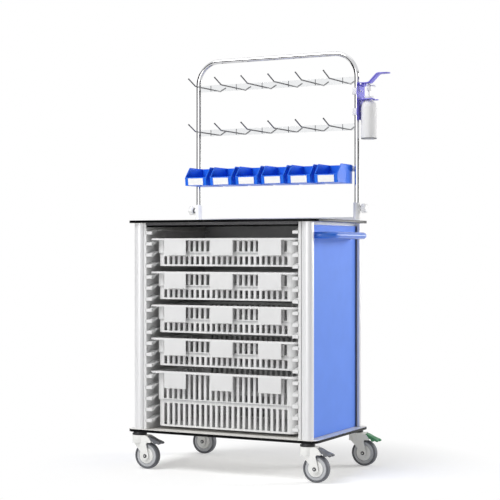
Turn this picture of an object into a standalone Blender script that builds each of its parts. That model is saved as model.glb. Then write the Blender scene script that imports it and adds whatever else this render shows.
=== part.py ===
"""Medication trolley: an open basket cabinet on casters with a clamped rack, bins and an elbow dispenser.

Metres, +Z up. +X is the handle side and -Y the open front. Every piece is one named object, and the root empty
puts the bottom centre of the whole trolley's box at the origin.
"""
import math

import bmesh
import bpy
from mathutils import Matrix, Vector

# Gap between pieces that touch, and between a shaft and its hole
SEAT = 0.0003

# Casters
WHEEL_DIAMETER = 0.096
WHEEL_WIDTH = 0.028
TREAD_SHOULDER = 0.004
HUB_RECESS = 0.002
HUB_DIAMETER = 0.068
WHEEL_TOP_CLEARANCE = 0.009
WHEEL_SIDE_CLEARANCE = 0.002
FORK_CROWN_THICKNESS = 0.0167
FORK_TURRET_DIAMETER = 0.053
FORK_TURRET_HEIGHT = 0.029
FORK_LEG_THICKNESS = 0.004
FORK_LEG_NOSE = 0.016
FORK_LEG_FOOT_RADIUS = 0.014
FORK_HOOD_START = 0.036
FORK_HOOD_REACH = 0.022
FORK_HOOD_FALL = 0.020
FORK_HOOD_SKIRT = 0.0255
MOUNT_DIAMETER = 0.053
MOUNT_NECK_DIAMETER = 0.045
MOUNT_HEIGHT = 0.0112
MOUNT_NECK_HEIGHT = 0.0045
MOUNT_CHAMFER = 0.0015
KING_PIN_DIAMETER = 0.010
AXLE_DIAMETER = 0.008
AXLE_HEAD_DIAMETER = 0.014
AXLE_HEAD_HEIGHT = 0.003
CASTER_TRAIL = 0.034
CASTER_SIDE_INSET = 0.0413
CASTER_FRONT_INSET = 0.0263
PEDAL_HUB_DIAMETER = 0.012
PEDAL_PIVOT_DROP = 0.009
PEDAL_EAR = 0.0075
PEDAL_LENGTH = 0.0505
PEDAL_DROP = 0.0175
PEDAL_THICKNESS = 0.007
PEDAL_TOE_WIDTH = 0.040
PEDAL_TOE_LENGTH = 0.013
PEDAL_TOE_NOTCH = 0.008
PEDAL_SHOE_REACH = 0.028
PEDAL_SHOE_DROP = 0.0215
PEDAL_SHOE_LENGTH = 0.010

# Baskets and the ledges that carry them
BASKET_WIDTH = 0.600
BASKET_DEPTH = 0.400
LOW_BASKET_HEIGHT = 0.100
TALL_BASKET_HEIGHT = 0.200
LOW_BASKET_STEP = 0.054
TALL_BASKET_STEP = 0.105
BASKET_RIM = 0.020
BASKET_RIM_THICKNESS = 0.0065
BASKET_STEP_IN = 0.0035
BASKET_WALL = 0.003
BASKET_CORNER_RADIUS = 0.025
SLOT_COUNT = 23
SLOT_PITCH = 0.022
SLOT_WIDTH = 0.012
SLOT_MARGIN = 0.0035
LABEL_COUNT = 3
LABEL_PITCH = 0.190
LABEL_WIDTH = 0.090
LABEL_HEIGHT = 0.054
LABEL_THICKNESS = 0.0025
LEDGE_PITCH = 0.040
LEDGES_PER_BASKET = 3
LEDGES_ABOVE_TOP_BASKET = 1
LOW_BASKET_COUNT = 4
LEDGE_REACH = 0.0225
LEDGE_TAB_LENGTH = 0.008
LEDGE_TAB_THICKNESS = 0.011
LEDGE_RAMP_LENGTH = 0.032
LEDGE_RISE = 0.008
LEDGE_THICKNESS = 0.006
TALL_BASKET_FLOOR_GAP = 0.0122
TOP_LEDGE_GAP = 0.0226

# Cabinet
BASKET_SIDE_CLEARANCE = 0.0043
BASKET_FRONT_SETBACK = 0.0175
BASKET_REAR_CLEARANCE = 0.0295
RUNNER_THICKNESS = 0.010
RUNNER_FRONT_SETBACK = 0.009
BACK_PANEL_THICKNESS = 0.004
BACK_PANEL_INSET = 0.006
POST_WIDTH = 0.041
POST_DEPTH = 0.028
POST_WALL = 0.0025
POST_OUTER_RADIUS = 0.020
POST_INNER_RADIUS = 0.004
BOARD_THICKNESS = 0.0095
BOARD_SIDE_OVERHANG = 0.0224
BOARD_END_OVERHANG = 0.010
BOARD_CORNER_RADIUS = 0.030
SIDE_PANEL_THICKNESS = 0.003
SIDE_PANEL_RECESS = 0.0155
SIDE_WALL_THICKNESS = 0.004
SIDE_WALL_TOP_STRIP = 0.010
SIDE_WALL_BOTTOM_STRIP = 0.001
FRONT_RAIL_HEIGHT = 0.015
FRONT_RAIL_DEPTH = 0.012
FRONT_RAIL_SETBACK = 0.003
REAR_LIP_HEIGHT = 0.014
REAR_LIP_THICKNESS = 0.006

# Push handle on the right side panel
HANDLE_TUBE_DIAMETER = 0.024
HANDLE_TUBE_WALL = 0.0025
HANDLE_LEG = 0.019
HANDLE_BEND_RADIUS = 0.050
HANDLE_LENGTH = 0.320
HANDLE_FRONT_GAP = 0.026
HANDLE_DROP = 0.0465

# Rack, its sockets and its clamp knobs
RACK_TUBE_DIAMETER = 0.018
RACK_TUBE_WALL = 0.0015
RACK_BEND_RADIUS = 0.090
SOCKET_DIAMETER = 0.026
SOCKET_HEIGHT = 0.068
SOCKET_FLOOR = 0.008
SOCKET_EDGE_MARGIN = 0.0025
KNOB_HEIGHT = 0.046
KNOB_DIAMETER = 0.037
KNOB_THICKNESS = 0.017
KNOB_HUB_DIAMETER = 0.020
KNOB_HUB_LENGTH = 0.007
KNOB_LOBES = 6
KNOB_LOBE_DEPTH = 0.0022
STUD_DIAMETER = 0.008
BOSS_DIAMETER = 0.016
BOSS_LENGTH = 0.003

# Hook rails and bins
RAIL_HEIGHT = 0.025
RAIL_THICKNESS = 0.003
UPPER_RAIL_RISE = 0.1727
LOWER_RAIL_RISE = 0.1408
HOOK_COUNT = 6
HOOK_WIRE_DIAMETER = 0.005
HOOK_WIRE_DROP = 0.004
HOOK_FRONT_ARM = 0.125
HOOK_FRONT_TIP_REACH = 0.052
HOOK_FRONT_TIP_RISE = 0.022
HOOK_REAR_ARM = 0.075
HOOK_REAR_TIP_REACH = 0.045
HOOK_REAR_TIP_RISE = 0.018
HOOK_BEND_RADIUS = 0.012
BIN_COUNT = 6
BIN_GAP = 0.0167
BIN_DEPTH = 0.138
BIN_HEIGHT = 0.070
BIN_FRONT_HEIGHT = 0.029
BIN_SLANT_DEPTH = 0.036
BIN_WALL = 0.0025
BIN_HOOK_DROP = 0.009
BIN_TOP_LEVEL = 0.208
BIN_RAIL_HEIGHT = 0.022

# Elbow dispenser on the right upright
BRACKET_SHEET = 0.003
BRACKET_WIDTH = 0.072
BRACKET_HEIGHT = 0.137
BRACKET_BELOW_SHELF = 0.0755
SHELF_RISE = 0.0992
SHELF_LENGTH = 0.060
SHELF_WIDTH = 0.060
CLAMP_HEIGHT = 0.025
CLAMP_WALL = 0.0045
CLAMP_UPPER_RISE = 0.0315
CLAMP_LOWER_DROP = 0.0445
PIN_DIAMETER = 0.005
PIN_OFFSET = 0.0075
EAR_THICKNESS = 0.003
LEVER_WIDTH = 0.038
LEVER_SHEET = 0.003
LEVER_BARREL_DIAMETER = 0.012
LEVER_FLAT = 0.028
LEVER_SLANT = 0.033
LEVER_RISE = 0.033
LEVER_TIP = 0.046
BOTTLE_DIAMETER = 0.059
BOTTLE_HEIGHT = 0.108
BOTTLE_SHOULDER_HEIGHT = 0.036
BOTTLE_PLATE_GAP = 0.002
NECK_DIAMETER = 0.025
COLLAR_DIAMETER = 0.034
COLLAR_HEIGHT = 0.010
PUMP_STEM_DIAMETER = 0.007
PUMP_STEM_DEPTH = 0.008
PUMP_STROKE = 0.016
PUMP_HEAD_DIAMETER = 0.016
PUMP_HEAD_HEIGHT = 0.021
PUMP_DOME_HEIGHT = 0.006
PUMP_DOME_DIAMETER = 0.006
NOZZLE_LENGTH = 0.026
NOZZLE_WIDTH = 0.007
NOZZLE_HEIGHT = 0.006

# Facets round a turned piece, a tube, a wire and a bend
TURN_SEGMENTS = 20
SHAFT_SEGMENTS = 12
TUBE_SIDES = 12
WIRE_SIDES = 6
BEND_STEPS = 6
WIRE_BEND_STEPS = 2
CORNER_STEPS = 4

# Heights, worked up from the floor
AXLE_HEIGHT = WHEEL_DIAMETER / 2
CROWN_BOTTOM = WHEEL_DIAMETER + WHEEL_TOP_CLEARANCE
CROWN_TOP = CROWN_BOTTOM + FORK_CROWN_THICKNESS
BASE_BOTTOM = CROWN_TOP + SEAT + MOUNT_HEIGHT + SEAT
BASE_TOP = BASE_BOTTOM + BOARD_THICKNESS
TALL_RIM_TOP = BASE_TOP + TALL_BASKET_FLOOR_GAP + TALL_BASKET_HEIGHT
TALL_LEDGE = TALL_RIM_TOP - BASKET_RIM_THICKNESS - SEAT
LEDGES_ABOVE_TALL = LOW_BASKET_COUNT * LEDGES_PER_BASKET + LEDGES_ABOVE_TOP_BASKET
LEDGE_FOOT = LEDGE_RISE + LEDGE_TAB_THICKNESS
LEDGES_BELOW_TALL = int((TALL_LEDGE - LEDGE_FOOT - BASE_TOP) / LEDGE_PITCH)
TOP_LEDGE = TALL_LEDGE + LEDGES_ABOVE_TALL * LEDGE_PITCH
WORKTOP_BOTTOM = TOP_LEDGE + TOP_LEDGE_GAP
WORKTOP_TOP = WORKTOP_BOTTOM + BOARD_THICKNESS
WALL_BOTTOM = BASE_TOP + SEAT
WALL_TOP = WORKTOP_BOTTOM - SEAT

# Widths, worked out from the basket to the board's edge
RUNNER_FACE_X = BASKET_WIDTH / 2 + BASKET_SIDE_CLEARANCE
RUNNER_BACK_X = RUNNER_FACE_X + RUNNER_THICKNESS
POST_INNER_X = RUNNER_BACK_X + SEAT
POST_OUTER_X = POST_INNER_X + POST_WIDTH
BOARD_HALF_WIDTH = POST_OUTER_X + BOARD_SIDE_OVERHANG
PANEL_FACE_X = POST_OUTER_X - SIDE_PANEL_RECESS
SIDE_WALL_FACE_X = PANEL_FACE_X - SIDE_PANEL_THICKNESS - SEAT

# Depths, worked out from the front faces of the posts
CABINET_DEPTH = (BASKET_FRONT_SETBACK + BASKET_DEPTH + BASKET_REAR_CLEARANCE + BACK_PANEL_THICKNESS
                 + BACK_PANEL_INSET)
POST_FRONT_Y = -CABINET_DEPTH / 2
POST_REAR_Y = CABINET_DEPTH / 2
BOARD_HALF_DEPTH = CABINET_DEPTH / 2 + BOARD_END_OVERHANG
BASKET_Y = POST_FRONT_Y + BASKET_FRONT_SETBACK + BASKET_DEPTH / 2
RUNNER_FRONT_Y = POST_FRONT_Y + RUNNER_FRONT_SETBACK
BACK_PANEL_Y = POST_REAR_Y - BACK_PANEL_INSET - BACK_PANEL_THICKNESS / 2
RUNNER_REAR_Y = BACK_PANEL_Y - BACK_PANEL_THICKNESS / 2 - SEAT
WALL_HALF_DEPTH = CABINET_DEPTH / 2 - POST_DEPTH - SEAT

# Rack levels and places
UPRIGHT_X = POST_INNER_X + POST_WIDTH / 2
UPRIGHT_Y = BOARD_HALF_DEPTH - SOCKET_DIAMETER / 2 - SOCKET_EDGE_MARGIN
RACK_TUBE_RADIUS = RACK_TUBE_DIAMETER / 2
RAIL_HALF_LENGTH = UPRIGHT_X - RACK_TUBE_RADIUS - SEAT
RACK_BOTTOM = WORKTOP_TOP + SEAT + SOCKET_FLOOR + SEAT
BIN_TOP = WORKTOP_TOP + BIN_TOP_LEVEL
LOWER_RAIL_Z = BIN_TOP + LOWER_RAIL_RISE
UPPER_RAIL_Z = LOWER_RAIL_Z + UPPER_RAIL_RISE
RACK_TOP = UPPER_RAIL_Z + RAIL_HEIGHT / 2 + RACK_BEND_RADIUS
SHELF_TOP = LOWER_RAIL_Z + SHELF_RISE
PLATE_INNER_X = UPRIGHT_X + RACK_TUBE_RADIUS + CLAMP_WALL + SEAT
PLATE_OUTER_X = PLATE_INNER_X + BRACKET_SHEET
BOTTLE_X = PLATE_OUTER_X + BOTTLE_PLATE_GAP + BOTTLE_DIAMETER / 2
PLATE_BOTTOM = SHELF_TOP - BRACKET_BELOW_SHELF
PLATE_TOP = PLATE_BOTTOM + BRACKET_HEIGHT
PIN_X = PLATE_OUTER_X + PIN_OFFSET
PIN_Z = PLATE_TOP - LEVER_BARREL_DIAMETER / 2


def clear_scene():
    for old in list(bpy.data.objects):
        bpy.data.objects.remove(old, do_unlink=True)


def finish(name, colour, roughness, metallic=0.0):
    """One Principled material for a kind of piece."""
    material = bpy.data.materials.new(name)
    material.use_nodes = True
    shader = material.node_tree.nodes["Principled BSDF"]
    shader.inputs["Base Color"].default_value = (*colour, 1.0)
    shader.inputs["Roughness"].default_value = roughness
    shader.inputs["Metallic"].default_value = metallic
    return material


def bore_radius(shaft_diameter):
    """Radius of a faceted hole that clears a turning shaft all round."""
    return (shaft_diameter / 2 + SEAT) / math.cos(math.pi / SHAFT_SEGMENTS)


def rounded_outline(width, depth, radii, steps=CORNER_STEPS):
    """Rectangle about the origin with a radius for each corner, from -X -Y round to -X +Y."""
    outline = []
    for index, (side_x, side_y) in enumerate(((-1, -1), (1, -1), (1, 1), (-1, 1))):
        radius = radii[index]
        centre_x = side_x * (width / 2 - radius)
        centre_y = side_y * (depth / 2 - radius)
        start = math.pi + index * math.pi / 2
        for step in range(steps + 1):
            angle = start + step / steps * math.pi / 2
            outline.append((centre_x + radius * math.cos(angle), centre_y + radius * math.sin(angle)))
    return outline


def circle(radius, count, phase=0.0):
    angles = [phase + 2 * math.pi * i / count for i in range(count)]
    return [(radius * math.cos(a), radius * math.sin(a)) for a in angles]


def point_on(axis, u, v, along):
    """A drawing's point (u, v) at a distance along the axis that the drawing is pushed along."""
    return {"X": (along, u, v), "Y": (u, along, v), "Z": (u, v, along)}[axis]


def stack(loops, capped=True):
    """Skin through loops that have the same number of points, capped at both ends or closed into a ring."""
    mesh = bmesh.new()
    rings = [[mesh.verts.new(point) for point in loop] for loop in loops]
    count = len(rings[0])
    pairs = list(zip(rings, rings[1:]))
    if not capped:
        pairs.append((rings[-1], rings[0]))
    for lower, upper in pairs:
        for i in range(count):
            j = (i + 1) % count
            mesh.faces.new((lower[i], lower[j], upper[j], upper[i]))
    if capped:
        mesh.faces.new(rings[0])
        mesh.faces.new(rings[-1])
    bmesh.ops.recalc_face_normals(mesh, faces=mesh.faces)
    return mesh


def prism(outline, axis, low, high):
    return stack([[point_on(axis, u, v, at) for u, v in outline] for at in (low, high)])


def hollow_prism(outer, inner, axis, low, high):
    """Open-ended extrusion between an outer and an inner outline of as many points."""
    loops = [(outer, low), (outer, high), (inner, high), (inner, low)]
    return stack([[point_on(axis, u, v, at) for u, v in line] for line, at in loops], capped=False)


def block(x, y, z):
    """Box from (low, high) pairs."""
    return prism([(x[0], y[0]), (x[1], y[0]), (x[1], y[1]), (x[0], y[1])], "Z", *z)


def turned(profile, axis="Z", segments=TURN_SEGMENTS, phase=0.0, capped=True):
    """Solid of revolution from (radius, along) points; not capped means a ring with a bore."""
    loops = [[point_on(axis, u, v, along) for u, v in circle(radius, segments, phase)]
             for radius, along in profile]
    return stack(loops, capped)


def rounded_path(corners, radius, steps):
    """Corner points of a planar path with each inner corner turned into an arc."""
    points = [Vector(corners[0])]
    for before, corner, after in zip(corners, corners[1:], corners[2:]):
        corner = Vector(corner)
        back = (Vector(before) - corner).normalized()
        ahead = (Vector(after) - corner).normalized()
        half = back.angle(ahead) / 2
        centre = corner + (back + ahead).normalized() * radius / math.sin(half)
        start = (corner + back * radius / math.tan(half) - centre).normalized()
        stop = (corner + ahead * radius / math.tan(half) - centre).normalized()
        for step in range(steps + 1):
            points.append(centre + start.slerp(stop, step / steps) * radius)
    points.append(Vector(corners[-1]))
    return points


def sweep(points, plane_normal, radius, sides, wall=None):
    """Round bar, or tube with a wall, along a planar path, mitred at its points."""
    plane_normal = Vector(plane_normal)

    def rings(size):
        loops = []
        for i, point in enumerate(points):
            arrive = (point - points[max(i - 1, 0)]).normalized()
            leave = (points[min(i + 1, len(points) - 1)] - point).normalized()
            along = (arrive + leave).normalized()
            stretch = 1 / max(along.dot(arrive), along.dot(leave))
            across = plane_normal.cross(along)
            loops.append([point + across * u * stretch + plane_normal * v for u, v in circle(size, sides)])
        return loops

    if wall is None:
        return stack(rings(radius))
    return stack(rings(radius) + rings(radius - wall)[::-1], capped=False)


def as_object(name, mesh_data, material=None):
    mesh = bpy.data.meshes.new(name)
    bmesh.ops.triangulate(mesh_data, faces=[f for f in mesh_data.faces if len(f.verts) > 4])
    mesh_data.to_mesh(mesh)
    mesh_data.free()
    if material:
        mesh.materials.append(material)
    item = bpy.data.objects.new(name, mesh)
    bpy.context.collection.objects.link(item)
    return item


def combine(mesh_data, tools, operation):
    """Boolean of a solid with a list of tool solids, given back as mesh data."""
    for tool in tools:
        base = as_object("base", mesh_data)
        other = as_object("tool", tool)
        modifier = base.modifiers.new("combine", "BOOLEAN")
        modifier.operation = operation
        modifier.solver = "EXACT"
        modifier.object = other
        graph = bpy.context.evaluated_depsgraph_get()
        result = bpy.data.meshes.new_from_object(base.evaluated_get(graph))
        mesh_data = bmesh.new()
        mesh_data.from_mesh(result)
        for old in (base, other):
            bpy.data.objects.remove(old, do_unlink=True)
        bpy.data.meshes.remove(result)
    return mesh_data


def joined(solids):
    """Separate solids that stay clear of each other, held in one mesh."""
    whole = bmesh.new()
    for solid in solids:
        part = bpy.data.meshes.new("part")
        solid.to_mesh(part)
        solid.free()
        whole.from_mesh(part)
        bpy.data.meshes.remove(part)
    return whole


def place(name, mesh_data, material, parent, location=(0, 0, 0), turn=0.0):
    """A named piece from its mesh data, shaded smooth across its shallow edges."""
    item = as_object(name, mesh_data, material)
    seat_piece(item, parent, location, turn)
    return item


def place_copy(name, pattern, parent, location=(0, 0, 0), turn=0.0):
    """Another piece that shares the pattern's mesh."""
    item = bpy.data.objects.new(name, pattern.data)
    bpy.context.collection.objects.link(item)
    seat_piece(item, parent, location, turn)
    return item


def seat_piece(item, parent, location, turn):
    item.parent = parent
    item.location = location
    item.rotation_euler = (0, 0, turn)
    item.data.shade_smooth()
    item.data.set_sharp_from_angle(angle=math.radians(35))


def carrier(name, parent=None, location=(0, 0, 0)):
    """Empty that stands on a joint's axis or holds a group of pieces."""
    empty = bpy.data.objects.new(name, None)
    bpy.context.collection.objects.link(empty)
    empty.parent = parent
    empty.location = location
    return empty


def build_boards(root, finishes):
    outline = rounded_outline(2 * BOARD_HALF_WIDTH, 2 * BOARD_HALF_DEPTH, [BOARD_CORNER_RADIUS] * 4)
    place("base_board", prism(outline, "Z", BASE_BOTTOM, BASE_TOP), finishes["laminate"], root)
    place("worktop", prism(outline, "Z", WORKTOP_BOTTOM, WORKTOP_TOP), finishes["laminate"], root)
    lip_half = UPRIGHT_X - SOCKET_DIAMETER / 2 - SEAT
    lip_y = (UPRIGHT_Y, UPRIGHT_Y + REAR_LIP_THICKNESS)
    lip_z = (WORKTOP_TOP + SEAT, WORKTOP_TOP + SEAT + REAR_LIP_HEIGHT)
    place("rear_lip", block((-lip_half, lip_half), lip_y, lip_z), finishes["white"], root)


def build_posts(root, finishes):
    for end, end_y in (("front", -1), ("rear", 1)):
        for side, side_x in (("left", -1), ("right", 1)):
            radii = []
            for corner_x, corner_y in ((-1, -1), (1, -1), (1, 1), (-1, 1)):
                outer = corner_x == side_x and corner_y == end_y
                radii.append(POST_OUTER_RADIUS if outer else POST_INNER_RADIUS)
            outer_line = rounded_outline(POST_WIDTH, POST_DEPTH, radii)
            inner_radii = [radius - POST_WALL for radius in radii]
            inner_line = rounded_outline(POST_WIDTH - 2 * POST_WALL, POST_DEPTH - 2 * POST_WALL, inner_radii)
            centre = (side_x * UPRIGHT_X, end_y * (POST_REAR_Y - POST_DEPTH / 2), 0)
            mesh = hollow_prism(outer_line, inner_line, "Z", WALL_BOTTOM, WALL_TOP)
            place(f"post_{end}_{side}", mesh, finishes["aluminium"], root, centre)


def build_walls(root, finishes):
    panel_z = (WALL_BOTTOM + SIDE_WALL_BOTTOM_STRIP, WALL_TOP - SIDE_WALL_TOP_STRIP)
    wall_y = (-WALL_HALF_DEPTH, WALL_HALF_DEPTH)
    wall_z = (WALL_BOTTOM, WALL_TOP)
    for side, side_x in (("left", -1), ("right", 1)):
        wall_x = sorted(side_x * x for x in (SIDE_WALL_FACE_X - SIDE_WALL_THICKNESS, SIDE_WALL_FACE_X))
        panel_x = sorted(side_x * x for x in (PANEL_FACE_X - SIDE_PANEL_THICKNESS, PANEL_FACE_X))
        place(f"side_wall_{side}", block(wall_x, wall_y, wall_z), finishes["white"], root)
        place(f"side_panel_{side}", block(panel_x, wall_y, panel_z), finishes["blue_panel"], root)
    inside_x = (-RUNNER_BACK_X, RUNNER_BACK_X)
    back_y = (BACK_PANEL_Y - BACK_PANEL_THICKNESS / 2, BACK_PANEL_Y + BACK_PANEL_THICKNESS / 2)
    place("back_panel", block(inside_x, back_y, wall_z), finishes["grey"], root)
    rail_front = POST_FRONT_Y + FRONT_RAIL_SETBACK
    rail_y = (rail_front, rail_front + FRONT_RAIL_DEPTH)
    rail_z = (WALL_TOP - FRONT_RAIL_HEIGHT, WALL_TOP)
    rail_half = RUNNER_FACE_X - SEAT
    place("front_rail", block((-rail_half, rail_half), rail_y, rail_z), finishes["dark"], root)


def ledge_outline(level):
    """Side view of a ledge whose raised track is at the given level: front tab, ramp and track."""
    tab = level - LEDGE_RISE
    ramp_start = RUNNER_FRONT_Y + LEDGE_TAB_LENGTH
    ramp_end = ramp_start + LEDGE_RAMP_LENGTH
    track_end = RUNNER_REAR_Y - RUNNER_THICKNESS
    return [(RUNNER_FRONT_Y, tab - LEDGE_TAB_THICKNESS), (ramp_start, tab - LEDGE_TAB_THICKNESS),
            (ramp_end, level - LEDGE_THICKNESS), (track_end, level - LEDGE_THICKNESS),
            (track_end, level), (ramp_end, level), (ramp_start, tab), (RUNNER_FRONT_Y, tab)]


def build_runners(root, finishes):
    first = -LEDGES_BELOW_TALL
    levels = [TALL_LEDGE + i * LEDGE_PITCH for i in range(first, LEDGES_ABOVE_TALL + 1)]
    root_depth = RUNNER_THICKNESS / 2
    for side, side_x in (("left", -1), ("right", 1)):
        plate_x = sorted((side_x * RUNNER_FACE_X, side_x * RUNNER_BACK_X))
        ledge_x = sorted((side_x * (RUNNER_FACE_X - LEDGE_REACH), side_x * (RUNNER_FACE_X + root_depth)))
        plate = block(plate_x, (RUNNER_FRONT_Y, RUNNER_REAR_Y), (WALL_BOTTOM, WALL_TOP))
        ledges = joined([prism(ledge_outline(level), "X", *ledge_x) for level in levels])
        place(f"runner_panel_{side}", combine(plate, [ledges], "UNION"), finishes["white"], root)


def basket_mesh(height, step):
    """Basket with its rim's top at height 0: stepped shell, slotted front wall and three label holders."""
    half_x, half_y = BASKET_WIDTH / 2, BASKET_DEPTH / 2
    wall = BASKET_WALL
    upper, lower = BASKET_RIM, BASKET_RIM + BASKET_STEP_IN
    sections = [(lower, -height), (lower, -step), (upper, -step), (upper, -BASKET_RIM_THICKNESS),
                (0.0, -BASKET_RIM_THICKNESS), (0.0, 0.0), (upper + wall, 0.0), (upper + wall, wall - step),
                (lower + wall, wall - step), (lower + wall, wall - height)]
    loops = []
    for inset, z in sections:
        radius = [BASKET_CORNER_RADIUS] * 4
        outline = rounded_outline(2 * (half_x - inset), 2 * (half_y - inset), radius, steps=2)
        loops.append([(x, y, z) for x, y in outline])
    shell = stack(loops)
    front = (-half_y + upper - wall, -half_y + lower + 2 * wall)
    rows = [(wall + SLOT_MARGIN - step, -BASKET_RIM_THICKNESS - SLOT_MARGIN),
            (wall + SLOT_MARGIN - height, -step - 3 * SLOT_MARGIN)]
    slots = []
    for i in range(SLOT_COUNT):
        x = (i - (SLOT_COUNT - 1) / 2) * SLOT_PITCH
        for row in rows:
            slots.append(block((x - SLOT_WIDTH / 2, x + SLOT_WIDTH / 2), front, row))
    slotted = combine(shell, [joined(slots)], "DIFFERENCE")
    holders = []
    for i in range(LABEL_COUNT):
        x = (i - (LABEL_COUNT - 1) / 2) * LABEL_PITCH
        plate_z = (-BASKET_RIM_THICKNESS - LABEL_HEIGHT, -BASKET_RIM_THICKNESS / 2)
        plate_x = (x - LABEL_WIDTH / 2, x + LABEL_WIDTH / 2)
        plate_y = (-half_y + SEAT, -half_y + SEAT + LABEL_THICKNESS)
        holders.append(block(plate_x, plate_y, plate_z))
    return combine(slotted, [joined(holders)], "UNION")


def build_baskets(root, finishes):
    pattern = None
    for i in range(LOW_BASKET_COUNT):
        ledges_up = (LOW_BASKET_COUNT - i) * LEDGES_PER_BASKET
        centre = (0, BASKET_Y, TALL_RIM_TOP + ledges_up * LEDGE_PITCH)
        name = f"basket_{i + 1}"
        if pattern is None:
            pattern = place(name, basket_mesh(LOW_BASKET_HEIGHT, LOW_BASKET_STEP), finishes["white"], root, centre)
        else:
            place_copy(name, pattern, root, centre)
    tall = basket_mesh(TALL_BASKET_HEIGHT, TALL_BASKET_STEP)
    place(f"basket_{LOW_BASKET_COUNT + 1}", tall, finishes["white"], root, (0, BASKET_Y, TALL_RIM_TOP))


def build_handle(root, finishes):
    start_x = PANEL_FACE_X + SEAT
    bar_x = start_x + HANDLE_LEG + HANDLE_BEND_RADIUS
    front_y = -WALL_HALF_DEPTH + HANDLE_FRONT_GAP
    rear_y = front_y + HANDLE_LENGTH
    corners = [(start_x, front_y, 0), (bar_x, front_y, 0), (bar_x, rear_y, 0), (start_x, rear_y, 0)]
    path = rounded_path(corners, HANDLE_BEND_RADIUS, BEND_STEPS)
    mesh = sweep(path, (0, 0, 1), HANDLE_TUBE_DIAMETER / 2, TUBE_SIDES, HANDLE_TUBE_WALL)
    place("push_handle", mesh, finishes["blue"], root, (0, 0, WORKTOP_BOTTOM - HANDLE_DROP))


def socket_mesh():
    """Socket about the upright's axis, with the knob's boss and hole towards +X."""
    bore = bore_radius(RACK_TUBE_DIAMETER)
    outer = SOCKET_DIAMETER / 2
    body = turned([(outer, 0), (outer, SOCKET_HEIGHT)])
    boss = turned([(BOSS_DIAMETER / 2, 0), (BOSS_DIAMETER / 2, outer + BOSS_LENGTH)], "X", SHAFT_SEGMENTS)
    bmesh.ops.translate(boss, vec=(0, 0, KNOB_HEIGHT), verts=boss.verts)
    well = turned([(bore, SOCKET_FLOOR), (bore, SOCKET_HEIGHT + bore)])
    stud_bore = bore_radius(STUD_DIAMETER)
    hole = turned([(stud_bore, 0), (stud_bore, SOCKET_DIAMETER)], "X", SHAFT_SEGMENTS)
    bmesh.ops.translate(hole, vec=(0, 0, KNOB_HEIGHT), verts=hole.verts)
    return combine(combine(body, [boss], "UNION"), [well, hole], "DIFFERENCE")


def knob_mesh():
    """Star knob with its stud, about +X from the upright's axis."""
    count = KNOB_LOBES * 5
    stud_tip = RACK_TUBE_RADIUS + SEAT
    hub_start = SOCKET_DIAMETER / 2 + BOSS_LENGTH + SEAT
    star_start = hub_start + KNOB_HUB_LENGTH
    edge = KNOB_LOBE_DEPTH

    def loop(radius, along, lobe):
        points = []
        for i in range(count):
            angle = 2 * math.pi * i / count
            size = radius - lobe * (1 - math.cos(KNOB_LOBES * angle)) / 2
            points.append((along, size * math.cos(angle), size * math.sin(angle)))
        return points

    star = KNOB_DIAMETER / 2
    return stack([loop(STUD_DIAMETER / 2, stud_tip, 0), loop(STUD_DIAMETER / 2, hub_start, 0),
                  loop(KNOB_HUB_DIAMETER / 2, hub_start, 0), loop(KNOB_HUB_DIAMETER / 2, star_start, 0),
                  loop(star, star_start, edge), loop(star, star_start + KNOB_THICKNESS - 2 * edge, edge),
                  loop(star - 2 * edge, star_start + KNOB_THICKNESS, edge)])


def build_sockets(root, finishes):
    seat = WORKTOP_TOP + SEAT
    socket = None
    for side, side_x, turn in (("right", 1, 0.0), ("left", -1, math.pi)):
        base = (side_x * UPRIGHT_X, UPRIGHT_Y, seat)
        axis = (side_x * UPRIGHT_X, UPRIGHT_Y, seat + KNOB_HEIGHT)
        if socket is None:
            socket = place(f"rack_socket_{side}", socket_mesh(), finishes["white"], root, base, turn)
            knob = place(f"clamp_knob_{side}", knob_mesh(), finishes["white"], root, axis, turn)
        else:
            place_copy(f"rack_socket_{side}", socket, root, base, turn)
            place_copy(f"clamp_knob_{side}", knob, root, axis, turn)


def hook_rail_mesh():
    """Flat bar with double-ended wire hooks through it, about the bar's middle."""
    bar = block((-RAIL_HALF_LENGTH, RAIL_HALF_LENGTH), (-RAIL_THICKNESS / 2, RAIL_THICKNESS / 2),
                (-RAIL_HEIGHT / 2, RAIL_HEIGHT / 2))
    pitch = 2 * UPRIGHT_X / HOOK_COUNT
    wires = []
    for i in range(HOOK_COUNT):
        x = (i - (HOOK_COUNT - 1) / 2) * pitch
        z = -HOOK_WIRE_DROP
        corners = [(x, -HOOK_FRONT_ARM - HOOK_FRONT_TIP_REACH, z + HOOK_FRONT_TIP_RISE),
                   (x, -HOOK_FRONT_ARM, z), (x, HOOK_REAR_ARM, z),
                   (x, HOOK_REAR_ARM + HOOK_REAR_TIP_REACH, z + HOOK_REAR_TIP_RISE)]
        path = rounded_path(corners, HOOK_BEND_RADIUS, WIRE_BEND_STEPS)
        wires.append(sweep(path, (1, 0, 0), HOOK_WIRE_DIAMETER / 2, WIRE_SIDES))
    return combine(bar, [joined(wires)], "UNION")


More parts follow.
